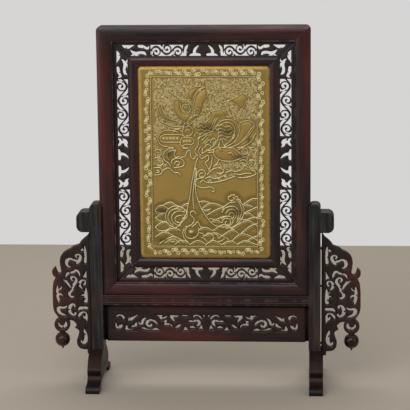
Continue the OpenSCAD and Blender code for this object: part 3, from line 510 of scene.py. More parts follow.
# The chased strokes of the picture above the waves, each as a few points along it
RIDGES = [
    [(1, 414), (-16, 413), (-31, 408), (-39, 397), (-37, 387), (-30, 381)],
    [(3, 411), (-11, 404), (-18, 394), (-22, 381), (-25, 367), (-26, 353), (-32, 339), (-39, 329)],
    [(-2, 411), (-13, 405), (-21, 394), (-26, 383)],
    [(7, 404), (12, 405), (15, 401), (10, 398), (9, 391), (16, 385)],
    [(18, 392), (14, 385), (3, 378), (-1, 367), (-4, 355), (-11, 343), (-22, 333), (-34, 323),
     (-43, 315)],
    [(-10, 358), (-15, 361), (-20, 358), (-23, 351), (-20, 344), (-13, 347)],
    [(-36, 335), (-27, 341), (-21, 346)],
    [(-56, 381), (-69, 382), (-72, 365), (-68, 349), (-59, 336), (-47, 329), (-35, 325)],
    [(-55, 374), (-55, 366), (-51, 356), (-43, 350), (-34, 353), (-30, 361)],
    [(-51, 365), (-48, 370), (-41, 371), (-34, 367), (-35, 359), (-41, 354), (-48, 356), (-51, 365)],
    [(-105, 369), (-110, 358), (-106, 346), (-96, 336), (-82, 330), (-68, 327), (-54, 326)],
    [(-99, 369), (-97, 360), (-94, 349), (-85, 340), (-73, 334), (-60, 330)],
    [(-103, 331), (-91, 325), (-76, 319), (-60, 318), (-47, 321), (-38, 324)],
    [(-97, 323), (-83, 316), (-66, 313), (-54, 315)],
    [(-9, 341), (0, 343), (10, 343)],
    [(12, 352), (24, 356), (38, 358), (48, 354), (52, 347)],
    [(12, 352), (15, 345), (12, 336), (5, 330), (5, 322)],
    [(30, 340), (23, 332), (18, 319)],
    [(34, 340), (27, 330), (23, 317), (22, 310)],
    [(58, 380), (69, 385), (80, 390), (88, 396), (97, 395), (104, 387), (107, 380)],
    [(59, 379), (70, 374), (80, 366), (89, 360), (95, 368), (99, 377), (106, 381)],
    [(70, 401), (80, 406), (91, 402), (99, 394)],
    [(43, 374), (52, 378), (60, 382)],
    [(28, 317), (34, 326), (42, 332), (55, 335), (69, 332), (79, 322), (83, 308), (79, 293),
     (71, 282), (59, 274), (46, 269)],
    [(34, 318), (43, 325), (54, 328), (65, 325), (71, 316), (72, 303), (66, 290), (57, 280), (48, 274)],
    [(66, 296), (70, 299), (73, 296), (68, 290)],
    [(84, 318), (86, 328), (101, 332), (114, 329), (118, 320), (113, 309), (103, 295), (89, 283),
     (75, 274), (59, 268)],
    [(87, 284), (100, 297), (109, 310), (115, 319)],
    [(121, 302), (117, 294), (111, 283), (100, 275), (90, 270), (77, 268)],
    [(-13, 316), (-7, 321), (-1, 315), (6, 319), (12, 314), (19, 315)],
    [(-13, 309), (-6, 312), (1, 307), (8, 310), (14, 307)],
    [(-10, 299), (-3, 303), (3, 300)],
    [(25, 316), (33, 321), (42, 322), (51, 317), (59, 319), (67, 314)],
    [(30, 310), (39, 314), (47, 310), (56, 309), (64, 313)],
    [(33, 302), (41, 306), (50, 301), (59, 300), (66, 305)],
    [(34, 294), (43, 298), (52, 293), (61, 294)],
    [(36, 286), (45, 289), (54, 285)],
    [(21, 307), (22, 312), (29, 313), (33, 307), (34, 294), (29, 281), (19, 270), (7, 261), (-5, 255)],
    [(-13, 278), (-14, 287), (-9, 293), (0, 298), (9, 303), (20, 306)],
    [(-5, 285), (6, 297)],
    [(-4, 278), (10, 292)],
    [(2, 278), (14, 289)],
    [(15, 280), (18, 288), (25, 289), (28, 284), (22, 278)],
    [(1, 269), (7, 276), (15, 272)],
    [(-13, 278), (-16, 271), (-20, 266), (-22, 259), (-19, 252), (-14, 248)],
    [(-9, 270), (-13, 262), (-12, 254), (-7, 249)],
    [(-2, 268), (-5, 260), (-4, 254)],
    [(6, 261), (17, 262), (28, 267), (35, 273), (36, 281)],
    [(-56, 245), (-46, 247), (-42, 255), (-38, 261), (-33, 261), (-32, 255), (-32, 246), (-26, 241),
     (-21, 247), (-19, 252)],
    [(-11, 247), (-6, 242), (2, 246), (8, 250), (11, 246), (9, 238), (3, 234), (3, 229), (7, 223),
     (10, 217)],
    [(-41, 267), (-50, 269), (-57, 276)],
    [(22, 257), (23, 264), (30, 268)],
    [(34, 275), (36, 266), (41, 262)],
    [(43, 285), (45, 276), (50, 270)],
    [(9, 256), (20, 257), (24, 248), (35, 240), (51, 236), (68, 237), (82, 241), (95, 246), (103, 245)],
    [(36, 268), (51, 268), (68, 267), (77, 260), (86, 253), (96, 246)],
    [(56, 255), (64, 256), (69, 249)],
    [(19, 245), (17, 234), (15, 224), (10, 213)],
    [(34, 239), (30, 231), (22, 223)],
    [(-43, 292), (-55, 299), (-71, 299), (-90, 299), (-100, 296), (-104, 290), (-101, 283),
     (-90, 281), (-74, 281), (-58, 281)],
    [(-62, 305), (-78, 309), (-95, 308), (-105, 301), (-109, 290), (-106, 279), (-97, 272),
     (-86, 270), (-75, 266), (-70, 260)],
    [(-74, 303), (-69, 310), (-59, 311), (-53, 306)],
    [(-49, 298), (-51, 308), (-46, 317), (-36, 319), (-28, 313), (-27, 304), (-33, 297), (-42, 296)],
    [(-43, 304), (-41, 310), (-36, 311), (-33, 306)],
    [(-23, 296), (-19, 303), (-12, 302), (-10, 295), (-15, 290)],
    [(-56, 277), (-55, 288), (-48, 292), (-33, 292), (-25, 287), (-25, 280), (-31, 275), (-43, 276),
     (-51, 272), (-48, 267), (-39, 266)],
    [(-73, 268), (-85, 265), (-94, 258), (-98, 247), (-93, 237), (-84, 231), (-81, 224)],
    [(-71, 262), (-80, 260), (-87, 255), (-88, 246), (-83, 239)],
    [(-67, 263), (-71, 253), (-68, 245), (-60, 247)],
    [(-79, 230), (-75, 239), (-65, 243), (-54, 241), (-48, 234), (-50, 225), (-59, 222), (-71, 220)],
    [(-71, 229), (-67, 235), (-60, 234), (-59, 228), (-64, 226)],
    [(-118, 220), (-106, 220), (-100, 214), (-103, 206), (-110, 203), (-118, 203)],
    [(-113, 214), (-108, 213), (-108, 209), (-114, 209)],
    [(-98, 214), (-91, 218), (-83, 219), (-77, 213), (-70, 208), (-62, 208), (-57, 202)],
    [(-118, 243), (-108, 245), (-100, 240), (-98, 232), (-104, 226), (-113, 227)],
    [(-118, 260), (-109, 264), (-101, 259)],
    [(-19, 199), (-16, 209), (-9, 215), (-1, 213), (2, 205), (-3, 198), (-11, 199), (-11, 205),
     (-6, 207)],
    [(-3, 196), (-15, 194), (-21, 188), (-21, 180), (-13, 174), (-2, 172), (12, 174), (21, 171),
     (23, 165), (18, 162)],
    [(-10, 185), (-4, 190), (4, 185), (13, 184), (29, 186), (45, 190), (59, 195), (72, 200)],
    [(7, 204), (14, 212), (22, 218), (32, 220), (42, 217), (46, 211), (39, 207), (29, 208)],
    [(2, 194), (11, 198), (23, 194), (36, 197), (48, 202)],
    [(80, 197), (97, 197), (112, 201), (121, 205), (119, 212), (111, 214)],
    [(70, 206), (83, 204), (98, 207), (110, 206)],
    [(51, 209), (63, 213), (74, 211), (85, 215)],
    [(84, 237), (95, 239), (101, 233), (98, 226), (90, 227)],
    [(105, 238), (115, 239), (121, 232), (117, 225)],
    [(81, 264), (90, 268), (100, 265), (102, 257), (96, 252), (89, 255)],
    [(107, 267), (116, 269), (123, 263), (120, 255)],
    [(-16, 244), (-21, 227), (-24, 215), (-28, 196), (-32, 174), (-35, 152), (-39, 133), (-43, 114),
     (-49, 97), (-58, 85), (-68, 76)],
    [(-21, 220), (-23, 196), (-26, 174), (-28, 152), (-27, 133), (-26, 121)],
    [(-18, 218), (-20, 196), (-22, 172), (-18, 149), (-11, 128), (-2, 111), (8, 96), (18, 85), (29, 79)],
]
# The crests of the waves
WAVE_RIDGES = [
    [(-118, 117), (-110, 127), (-99, 129), (-88, 121)],
    [(-99, 130), (-88, 136), (-78, 136), (-64, 127)],
    [(-71, 121), (-61, 126), (-50, 121), (-41, 114)],
    [(-57, 125), (-48, 132), (-39, 134)],
    [(-14, 138), (0, 140), (14, 135)],
    [(-6, 122), (5, 131), (19, 135), (31, 132), (44, 126)],
    [(90, 131), (102, 140), (114, 146), (125, 146)],
    [(93, 130), (103, 131), (113, 127)],
    [(-118, 115), (-109, 111), (-97, 111)],
    [(-118, 99), (-108, 107), (-96, 110)],
    [(5, 106), (17, 114), (31, 121), (45, 126)],
    [(-7, 120), (3, 118), (13, 121)],
    [(93, 111), (107, 118), (125, 127)],
    [(92, 108), (105, 111), (115, 104), (124, 98)],
    [(-118, 99), (-107, 92), (-94, 90)],
    [(-118, 77), (-107, 86), (-95, 89), (-84, 82), (-74, 76)],
    [(12, 98), (26, 96), (41, 102), (51, 104)],
    [(16, 90), (29, 93), (39, 88)],
    [(83, 97), (97, 95), (112, 100), (124, 101)],
    [(-118, 76), (-108, 68), (-93, 69), (-83, 76)],
    [(-96, 64), (-84, 72), (-69, 73), (-58, 68)],
    [(31, 77), (43, 83), (57, 79), (69, 70), (79, 62)],
    [(62, 72), (78, 83), (93, 91), (105, 93), (116, 86), (124, 80)],
    [(19, 69), (32, 78)],
    [(-118, 53), (-105, 62), (-91, 64), (-79, 58), (-70, 52)],
    [(-15, 70), (-3, 76), (8, 74), (19, 68)],
    [(-3, 55), (12, 61), (26, 63), (40, 57)],
    [(42, 57), (56, 67), (69, 71)],
    [(83, 59), (97, 72), (112, 82), (124, 86)],
    [(64, 43), (77, 56), (90, 61), (107, 56), (124, 45)],
    [(97, 41), (110, 51), (124, 56)],
    [(-108, 37), (-96, 45), (-83, 52), (-71, 53), (-59, 47), (-51, 39)],
    [(-95, 38), (-84, 46), (-73, 47), (-64, 41)],
    [(-71, 36), (-60, 44), (-50, 44), (-41, 39), (-36, 34)],
    [(-36, 34), (-27, 41), (-16, 44), (-5, 40), (2, 34)],
    [(2, 34), (13, 43), (22, 44), (31, 40), (39, 34)],
    [(39, 34), (53, 42), (65, 43), (77, 35)],
    [(77, 35), (89, 43), (100, 44), (112, 39), (124, 34)],
]
# The strokes of the two breakers, and of what stands in the waves
BREAKERS = [
    [(-42, 112), (-51, 122), (-64, 128), (-78, 126), (-89, 117), (-94, 103), (-91, 90), (-81, 79),
     (-68, 74)],
    [(-57, 119), (-70, 121), (-82, 115), (-88, 103), (-85, 90), (-76, 82)],
    [(-48, 113), (-61, 116), (-73, 111), (-79, 101), (-77, 90), (-68, 83), (-58, 81)],
    [(-56, 105), (-65, 104), (-71, 98), (-69, 90), (-61, 88)],
    [(-43, 111), (-42, 103), (-49, 95), (-57, 89), (-60, 80)],
    [(-52, 108), (-47, 103), (-54, 97)],
    [(55, 146), (56, 151), (60, 151), (62, 155), (66, 154), (70, 156), (73, 151), (78, 151),
     (78, 145), (84, 143), (84, 137)],
    [(83, 140), (90, 131), (93, 118), (91, 105), (85, 94), (76, 84), (64, 77), (50, 74)],
    [(67, 149), (78, 141), (85, 129), (88, 116), (84, 102), (76, 90)],
    [(56, 145), (61, 141), (68, 143)],
    [(42, 120), (49, 129), (59, 136), (72, 138)],
    [(40, 112), (47, 122), (58, 127), (70, 127), (79, 119), (81, 108), (77, 97)],
    [(49, 109), (56, 118), (66, 120), (74, 114), (75, 105), (70, 96)],
    [(56, 105), (61, 112), (68, 110), (69, 102), (64, 98)],
    [(41, 88), (45, 97), (55, 98), (61, 93), (59, 84), (51, 82), (48, 87), (51, 91)],
    [(32, 80), (40, 77), (51, 78), (62, 83), (67, 93), (61, 102), (50, 103), (39, 98)],
    [(-16, 75), (-16, 62), (-24, 52), (-35, 49), (-45, 54), (-48, 66), (-43, 77)],
    [(-50, 73), (-53, 62), (-49, 49), (-40, 40)],
    [(-21, 110), (-27, 116), (-34, 113), (-33, 105), (-27, 99), (-26, 91), (-31, 84), (-39, 79),
     (-46, 78)],
    [(-30, 78), (-23, 84), (-18, 90), (-14, 85), (-11, 78), (-6, 77)],
    [(2, 60), (9, 63), (16, 58), (21, 51), (16, 46)],
    [(23, 60), (29, 58), (32, 50), (40, 56), (46, 52), (41, 45), (32, 42)],
    [(-13, 63), (-6, 61), (-2, 55)],
    [(-9, 52), (-2, 49), (3, 43)],
    [(-85, 44), (-79, 41), (-73, 42)],
    [(50, 52), (56, 47)],
]
# The raised forms, each as corners round its outline, and the smooth outlines through them
SWELLS = [
    [(-2, 414), (-16, 413), (-31, 407), (-39, 397), (-37, 387), (-30, 381), (-24, 387), (-19, 397),
     (-11, 406)],
    [(3, 408), (8, 401), (9, 391), (13, 386), (3, 378), (-1, 367), (-4, 355), (-10, 344), (-21, 333),
     (-33, 323), (-40, 327), (-33, 339), (-26, 352), (-24, 367), (-21, 381), (-13, 394)],
    [(-56, 380), (-69, 381), (-71, 365), (-68, 350), (-59, 336), (-47, 329), (-35, 332), (-27, 346),
     (-26, 357), (-32, 352), (-40, 349), (-48, 351), (-53, 359), (-55, 370)],
    [(-51, 365), (-48, 370), (-41, 371), (-34, 367), (-35, 359), (-41, 354), (-48, 356)],
    [(-105, 368), (-109, 358), (-106, 346), (-95, 336), (-82, 330), (-68, 327), (-57, 327),
     (-73, 334), (-86, 340), (-94, 350), (-97, 361), (-100, 368)],
    [(12, 352), (24, 356), (38, 358), (48, 354), (50, 347), (44, 341), (33, 341), (25, 333),
     (19, 321), (6, 323), (5, 331), (13, 338), (15, 345)],
    [(59, 381), (69, 385), (80, 390), (88, 395), (95, 394), (102, 386), (106, 381), (99, 377),
     (95, 368), (89, 361), (80, 366), (70, 374)],
    [(41, 331), (54, 335), (68, 332), (78, 322), (82, 308), (78, 294), (70, 283), (58, 275),
     (49, 271), (56, 279), (66, 290), (72, 303), (71, 316), (63, 325), (52, 327)],
    [(85, 329), (101, 331), (113, 329), (117, 320), (113, 309), (102, 296), (89, 284), (75, 275),
     (62, 269), (73, 278), (81, 290), (84, 306), (83, 319)],
    [(117, 295), (110, 284), (100, 276), (90, 271), (80, 269), (91, 278), (103, 288), (113, 299)],
    [(21, 259), (32, 267), (51, 268), (68, 267), (77, 260), (85, 252), (95, 246), (82, 242),
     (68, 237), (51, 237), (35, 240), (24, 248)],
    [(0, 297), (9, 303), (19, 304), (24, 300), (18, 291), (10, 288), (2, 290)],
    [(-79, 266), (-89, 263), (-96, 256), (-97, 246), (-93, 238), (-85, 232), (-81, 225), (-79, 239),
     (-75, 250), (-73, 259)],
    [(-57, 278), (-63, 269), (-60, 260), (-50, 255), (-44, 261), (-42, 266), (-50, 270)],
]
OUTLINES = [line_of(p + p[:1], OUTLINE_STEP) for p in SWELLS]
# The parts of the sky that are filled with small curls
CURL_FIELDS = [
    [(-115, 431), (125, 431), (124, 333), (87, 335), (71, 337), (54, 340), (35, 344), (19, 315),
     (5, 325), (-9, 325), (-19, 315), (-33, 320), (-54, 315), (-78, 313), (-97, 312), (-110, 301),
     (-114, 277), (-118, 272)],
    [(-118, 272), (-105, 270), (-100, 265), (-101, 248), (-97, 234), (-84, 223), (-98, 221), (-118, 223)],
    [(51, 232), (75, 235), (98, 242), (124, 242), (124, 215), (107, 217), (79, 216), (51, 213),
     (41, 221), (27, 225), (37, 234)],
    [(82, 266), (108, 271), (124, 294), (124, 244), (102, 248), (89, 256)],
    [(6, 201), (22, 204), (46, 205), (74, 208), (74, 202), (51, 194), (25, 188), (3, 187)],
]


def sheet_ring(inset, count=None):
    """Points round the sheet's outline, drawn in by the inset: a step apart, or as many as asked."""
    w, h = SHEET_W / 2 - inset, SHEET_H / 2 - inset
    r = max(SHEET_CORNER - inset, LEAST_CORNER)
    ring = []
    for k, (sx, sz) in enumerate(((1, 1), (-1, 1), (-1, -1), (1, -1))):
        for a in np.radians(np.linspace(90 * k, 90 * k + 90, CORNER_POINTS)):
            ring.append((sx * (w - r) + r * math.cos(a), sz * (h - r) + r * math.sin(a) + SHEET_H / 2))
    ring = np.array(ring + ring[:1])
    far = np.concatenate([[0], np.cumsum(np.hypot(*np.diff(ring, axis=0).T))])
    even = np.linspace(0, far[-1], count or int(far[-1] / RING_STEP), endpoint=False)
    return np.column_stack([np.interp(even, far, ring[:, i]) for i in (0, 1)])


def rolled_back(inset):
    """How far back from its face the sheet has rolled, at a distance in from its outline."""
    a = 1 - np.clip(inset / SHEET_ROLL, 0, 1)
    return SHEET_DEEP * (1 - np.sqrt(np.clip(1 - a**2, 0, 1)))


def inset_at(points):
    """How far in from the sheet's rounded outline each point is."""
    q = np.abs(points - [0, SHEET_H / 2]) - [SHEET_W / 2 - SHEET_CORNER, SHEET_H / 2 - SHEET_CORNER]
    outside = np.hypot(*np.maximum(q, 0).T) + np.minimum(q.max(1), 0)
    return np.maximum(SHEET_CORNER - outside, 0)


def rule_lines(out):
    """The four lines of the rule round the picture, moved outwards."""
    ring = [(x + math.copysign(out, x), z + math.copysign(out, z - SHEET_H / 2)) for x, z in RULES]
    return [straight(a, b, RULE_STEP) for a, b in zip(ring, ring[1:] + ring[:1])]


def echo_of(crest):
    """A line that follows the crest of a wave on its lower side, a sixth shorter at both ends."""
    end = len(crest) // 6
    sides = [beside(crest, away) for away in (-ECHO_BELOW, ECHO_BELOW)]
    lower = min(sides, key=lambda side: side[:, 1].mean())
    return lower[end:len(crest) - end]


def around(lines, half):
    """The points of some lines, and those of a line on either side of each."""
    return list(np.vstack(lines)) + [p for line in lines for s in (-1, 1) for p in beside(line, s * half)]


def relief_spots(lines, echoes, outlines):
    """Where the face has its points inside the rim: close along what is drawn, and wide on the ground."""
    spots = around(lines, RIDGE_HALF) + around(echoes, ECHO_HALF)
    spots += [p for inset in RING_INSETS for p in sheet_ring(inset)] + list(np.vstack(outlines))
    spots += [
        (x + k * r * math.cos(t), z + k * r * math.sin(t))
        for x, z, r, _ in BEADS for k in BEAD_RINGS
        for t in np.linspace(0, math.tau, BEAD_POINTS, endpoint=False)
    ]
    grid = hex_grid((-SHEET_W / 2, 0), (SHEET_W / 2, SHEET_H), GROUND_PITCH)
    spots = np.array(spots + list(grid[inset_at(grid) > GROUND_INSET]))
    return thinned(spots[inset_at(spots) > RIM_CLEAR], LEAST_APART)


def swells_at(points, outlines):
    """The height, 0 to 1, of the raised forms inside the outlines."""
    height = np.zeros(len(points))
    for corners in outlines:
        near = within(points, corners.min(0), corners.max(0))
        near = near[in_outline(points[near], corners)]
        if len(near):
            rise = np.clip(from_line(points[near], corners) / SWELL_RISE, 0, 1)
            height[near] = np.maximum(height[near], np.sin(rise * math.pi / 2))
    return height


def relief_at(out, drawn, echoes, rules, outlines):
    """The ridge, the swell, the dark hollow, the rubbed brightness and the stain at each place."""
    lines = drawn + rules[0] + rules[1]
    ridge = ridges_at(out, lines, RIDGE_HALF)
    echo = ridges_at(out, echoes, ECHO_HALF)
    shine = np.interp(out[:, 1], WAVES_TO_CLOUDS, (BRIGHT_WAVES, BRIGHT_CLOUDS))
    rubbed = np.maximum(ridges_at(out, drawn, RIDGE_HALF) * shine, ECHO_BRIGHT * echo)
    for rule, bright in zip(rules, BRIGHT_RULES):
        rubbed = np.maximum(rubbed, bright * ridges_at(out, rule, RIDGE_HALF))
    swell = swells_at(out, outlines)
    for x, z, r, bright in BEADS:
        bead = np.sqrt(np.clip(1 - ((out - (x, z)) ** 2).sum(1) / r**2, 0, 1))
        ridge, rubbed = np.maximum(ridge, bead), np.maximum(rubbed, bright * bead)
    hollow = np.maximum(ridges_at(out, lines, HOLLOW_REACH) - 2 * ridge, 0)
    clouded = np.any([in_outline(out, field) for field in CURL_FIELDS], axis=0)
    hollow = np.where(clouded & (swell == 0), np.maximum(hollow, CLOUD_DARK), hollow)
    ridge = np.maximum(ridge, ECHO_HIGH * echo)
    water = WAVE_DARK * np.sqrt(ridges_at(out, drawn[len(RIDGES):], WAVE_REACH)) - ridge
    hollow = np.where(swell == 0, np.maximum(hollow, water), hollow)
    border = (inset_at(out) > SHEET_ROLL) & ~in_outline(out, RULES)
    hollow = np.where(border, np.maximum(hollow, BORDER_DARK), hollow)
    stain = sum(np.exp(-(((out - (x, z)) / (wide, high)) ** 2).sum(1)) for x, z, wide, high in STAINS)
    return ridge, swell, hollow, rubbed, stain


def close_sheet(bm):
    """Gives the face of the sheet its turned edge and its back, which is rolled as the face is."""
    rim = [e for e in bm.edges if len(e.link_faces) == 1]
    walls = [(TURNED_IN, SHEET_DEEP), (SHEET_THICK, SHEET_DEEP)]
    walls += [(SHEET_THICK + i, SHEET_THICK + rolled_back(np.array(i))) for i in BACK_INSETS]
    rings = []
    for inset, depth in walls:
        ring = [(x, SHEET_FACE + depth, z + SHEET_BOTTOM) for x, z in sheet_ring(inset, RIM_POINTS)]
        rings.append([bm.verts.new(Vector(p) * MM) for p in ring])
    for outer, inner in zip(rings, rings[1:]):
        for i in range(RIM_POINTS):
            j = (i + 1) % RIM_POINTS
            bm.faces.new([outer[i], outer[j], inner[j], inner[i]])
    bm.faces.new(rings[-1])
    first = set(rings[0])
    turned = [e for e in bm.edges if len(e.link_faces) == 1 and first.issuperset(e.verts)]
    bmesh.ops.bridge_loops(bm, edges=rim + turned)
    bmesh.ops.recalc_face_normals(bm, faces=bm.faces)


def sheet_mesh():
    """The embossed sheet: its face with every ridge and swell, its rolled edge, and its back."""
    drawn = [line_of(p, STROKE_STEP) for p in RIDGES + WAVE_RIDGES + BREAKERS]
    echoes = [echo_of(line_of(p, STROKE_STEP)) for p in WAVE_RIDGES]
    rules = [rule_lines(0), rule_lines(RULE_GAP)]
    rim = sheet_ring(0, RIM_POINTS)
    spots = np.vstack([rim, relief_spots(drawn + rules[0] + rules[1], echoes, OUTLINES)])
    loop = [(i, (i + 1) % RIM_POINTS) for i in range(RIM_POINTS)]
    out, _, tris, _, _, _ = delaunay_2d_cdt([Vector(p) for p in spots], loop, [], 1, SAME_SPOT)
    out = np.array([tuple(p) for p in out])
    ridge, swell, hollow, rubbed, stain = relief_at(out, drawn, echoes, rules, OUTLINES)
    back = rolled_back(inset_at(out))
    y = SHEET_FACE + back - RIDGE_HIGH * ridge - SWELL_HIGH * swell + HOLLOW_DEEP * hollow
    bm = bmesh.new()
    front = [bm.verts.new(Vector((p[0], h, p[1] + SHEET_BOTTOM)) * MM) for p, h in zip(out, y)]
    for tri in tris:
        bm.faces.new([front[i] for i in tri])
    close_sheet(bm)
    mesh = plain_mesh(bm, "brass sheet")
    rolled = np.clip(back / FULLY_BACK, 0, 1)
    for label, values in (("raised", rubbed), ("hollow", hollow), ("rolled", rolled), ("stained", stain)):
        mark(mesh, label, np.concatenate([values, np.zeros(len(mesh.vertices) - len(out))]))
    shade(mesh, SHEET_SHARP)
    return mesh


# Nodes

FLOAT, VECTOR, COLOR = "NodeSocketFloat", "NodeSocketVector", "NodeSocketColor"
GEOMETRY, WHOLE, MATERIAL = "NodeSocketGeometry", "NodeSocketInt", "NodeSocketMaterial"


class Nodes:
    """A tree of nodes, with the sorts of node that it uses again and again."""

    def __init__(self, tree, made=None):
        self.tree = tree
        self.made = made

    def add(self, kind, inputs=(), **settings):
        """A new node. Each input is given a value, or the output that feeds it."""
        node = self.tree.nodes.new(kind)
        for name, value in settings.items():
            setattr(node, name, value)
        for key, value in dict(inputs).items():
            if isinstance(value, bpy.types.NodeSocket):
                self.tree.links.new(value, node.inputs[key])
            else:
                node.inputs[key].default_value = value
        return node

    def get(self, kind, inputs=(), **settings):
        """The first output of a new node."""
        return self.add(kind, inputs, **settings).outputs[0]

    def times(self, a, b, clamp=False):
        """One value times another."""
        return self.get("ShaderNodeMath", {0: a, 1: b}, operation="MULTIPLY", use_clamp=clamp)

    def times_plus(self, a, b, c, clamp=False):
        """One value times another, plus a third."""
        return self.get("ShaderNodeMath", {0: a, 1: b, 2: c}, operation="MULTIPLY_ADD", use_clamp=clamp)

    def spread(self, value, low, high, start=0.0, end=1.0):
        """Goes from start to end while the value goes from low to high."""
        return self.get("ShaderNodeMapRange", {
            "Value": value, "From Min": low, "From Max": high, "To Min": start, "To Max": end})

    def noise(self, place, scale, detail, roughness=0.5):
        """A cloudy value at each place."""
        return self.get("ShaderNodeTexNoise", {
            "Vector": place, "Scale": scale, "Detail": detail, "Roughness": roughness})

    def stretched(self, place, by):
        """A place with each of its three values multiplied."""
        return self.get("ShaderNodeVectorMath", {0: place, 1: by}, operation="MULTIPLY")

    def xyz(self, x=0.0, y=0.0, z=0.0):
        """A vector of three values."""
        return self.get("ShaderNodeCombineXYZ", {0: x, 1: y, 2: z})

    def mix(self, factor, a, b):
        """One colour laid over another."""
        return self.add("ShaderNodeMix", {0: factor, 6: a, 7: b}, data_type="RGBA").outputs[2]

    def marked(self, label):
        """What was marked on the mesh under a label."""
        return self.add("ShaderNodeAttribute", attribute_name=label).outputs["Fac"]

    def any_of(self, least, most, seed):
        """A value drawn at random for each copy."""
        return self.add("FunctionNodeRandomValue", {2: least, 3: most, "Seed": seed}).outputs[1]

    def moved(self, shape, how, by):
        """A shape after one Translation, Rotation or Scale."""
        return self.get("GeometryNodeTransform", {"Geometry": shape, how: by})

    def joined(self, *shapes):
        """Several shapes as one."""
        node = self.add("GeometryNodeJoinGeometry")
        for shape in shapes:
            self.tree.links.new(shape, node.inputs[0])
        return node.outputs[0]

    def spiral(self, turns, start, end, resolution):
        """A flat spiral line that widens from its start to its end."""
        return self.get("GeometryNodeCurveSpiral", {
            "Resolution": resolution, "Rotations": turns, "Start Radius": start, "End Radius": end,
            "Height": 0.0})

    def wire(self, line, radius):
        """A wire with four sides along a line."""
        ring = self.get("GeometryNodeCurvePrimitiveCircle", {"Resolution": 4, "Radius": radius})
        return self.get("GeometryNodeCurveToMesh", {0: line, 1: ring, "Fill Caps": True})

    def end(self, **results):
        """Sends each result to the group's output of that name."""
        for name, result in results.items():
            self.tree.links.new(result, self.made[name])

    def end_shape(self, copies, finish):
        """Ends a geometry tree: the copies are made real, smooth and given their material."""
        whole = self.get("GeometryNodeRealizeInstances", {0: copies})
        smooth = self.get("GeometryNodeSetShadeSmooth", {0: whole})
        self.end(Geometry=self.get("GeometryNodeSetMaterial", {0: smooth, "Material": finish}))

    def end_surface(self, inputs):
        """Ends a material with its shader."""
        shader = self.get("ShaderNodeBsdfPrincipled", inputs)
        self.add("ShaderNodeOutputMaterial", {"Surface": shader})


def group(name, kind, inputs, outputs):
    """A node group with named sockets: its nodes, and what it is given."""
    tree = bpy.data.node_groups.new(name, kind)
    for label, (socket, value) in inputs.items():
        made = tree.interface.new_socket(label, in_out="INPUT", socket_type=socket)
        if value is not None:
            made.default_value = value
    for label, socket in outputs.items():
        tree.interface.new_socket(label, in_out="OUTPUT", socket_type=socket)
    given = tree.nodes.new("NodeGroupInput").outputs
    return Nodes(tree, tree.nodes.new("NodeGroupOutput").inputs), given


def empty_material(name):
    """A new material without nodes, and the nodes that it is to get."""
    material = bpy.data.materials.new(name)
    material.use_nodes = True
    material.node_tree.nodes.clear()
    return material, Nodes(material.node_tree)


# Effects that more than one material uses


def timber_grain():
    """Wood grain that runs along the first axis of the place it is given."""
    nodes, given = group(
        "timber grain", "ShaderNodeTree",
        {"Place": (VECTOR, None), "Streaks": (FLOAT, 150.0), "Stretch": (FLOAT, 14.0),
         "Figure": (FLOAT, 12.0)},
        {"Streaks": FLOAT, "Figure": FLOAT, "Pores": FLOAT},
    )
    along = nodes.get("ShaderNodeMath", {0: given["Streaks"], 1: given["Stretch"]}, operation="DIVIDE")
    drawn = nodes.stretched(given["Place"], nodes.xyz(along, given["Streaks"], given["Streaks"]))
    streaks = nodes.noise(drawn, 1.0, 5.0, 0.6)
    figure = nodes.noise(nodes.stretched(given["Place"], (0.45, 1.6, 1.6)), given["Figure"], 4.0)
    pores = nodes.noise(nodes.stretched(drawn, (1.4, 4.0, 4.0)), 1.0, 2.0)
    nodes.end(Streaks=streaks, Figure=figure, Pores=nodes.spread(pores, 0.6, 0.72))
    return nodes.tree


def edge_wear():
    """Where the finish has rubbed through: ragged along the edges, as far in as the reach."""
    nodes, given = group(
        "edge wear", "ShaderNodeTree",
        {"From Edge": (FLOAT, 1.0), "Place": (VECTOR, None), "Reach": (FLOAT, 0.2),
         "Ragged": (FLOAT, 0.3)},
        {"Mask": FLOAT},
    )
    patches = nodes.noise(given["Place"], 38.0, 4.0)
    swing = nodes.get("ShaderNodeMath", {0: patches, 1: -0.5}, operation="ADD")
    moved = nodes.times_plus(swing, given["Ragged"], given["From Edge"])
    nodes.end(Mask=nodes.spread(moved, 0.0, given["Reach"], 1.0, 0.0))
    return nodes.tree


def dust_and_painted_shade():
    """A thin dust on what faces up, and painted shade in the inner corners and where a board meets the
    bars.
    """
    nodes, given = group(
        "dust and painted shade", "ShaderNodeTree",
        {"From Corner": (FLOAT, 1.0), "Place": (VECTOR, None)},
        {"Dust": FLOAT, "Grime": FLOAT},
    )
    facing = nodes.add("ShaderNodeNewGeometry").outputs["Normal"]
    up = nodes.add("ShaderNodeSeparateXYZ", {0: facing}).outputs["Z"]
    blown = nodes.noise(given["Place"], 60.0, 5.0)
    nodes.end(
        Dust=nodes.times(nodes.spread(up, 0.55, 1.0), blown),
        # Painted shade: darker towards inner corners and towards the bars a board meets, where shadow
        # falls
        Grime=nodes.spread(given["From Corner"], 0.0, 0.3, 1.0, 0.0),
    )
    return nodes.tree


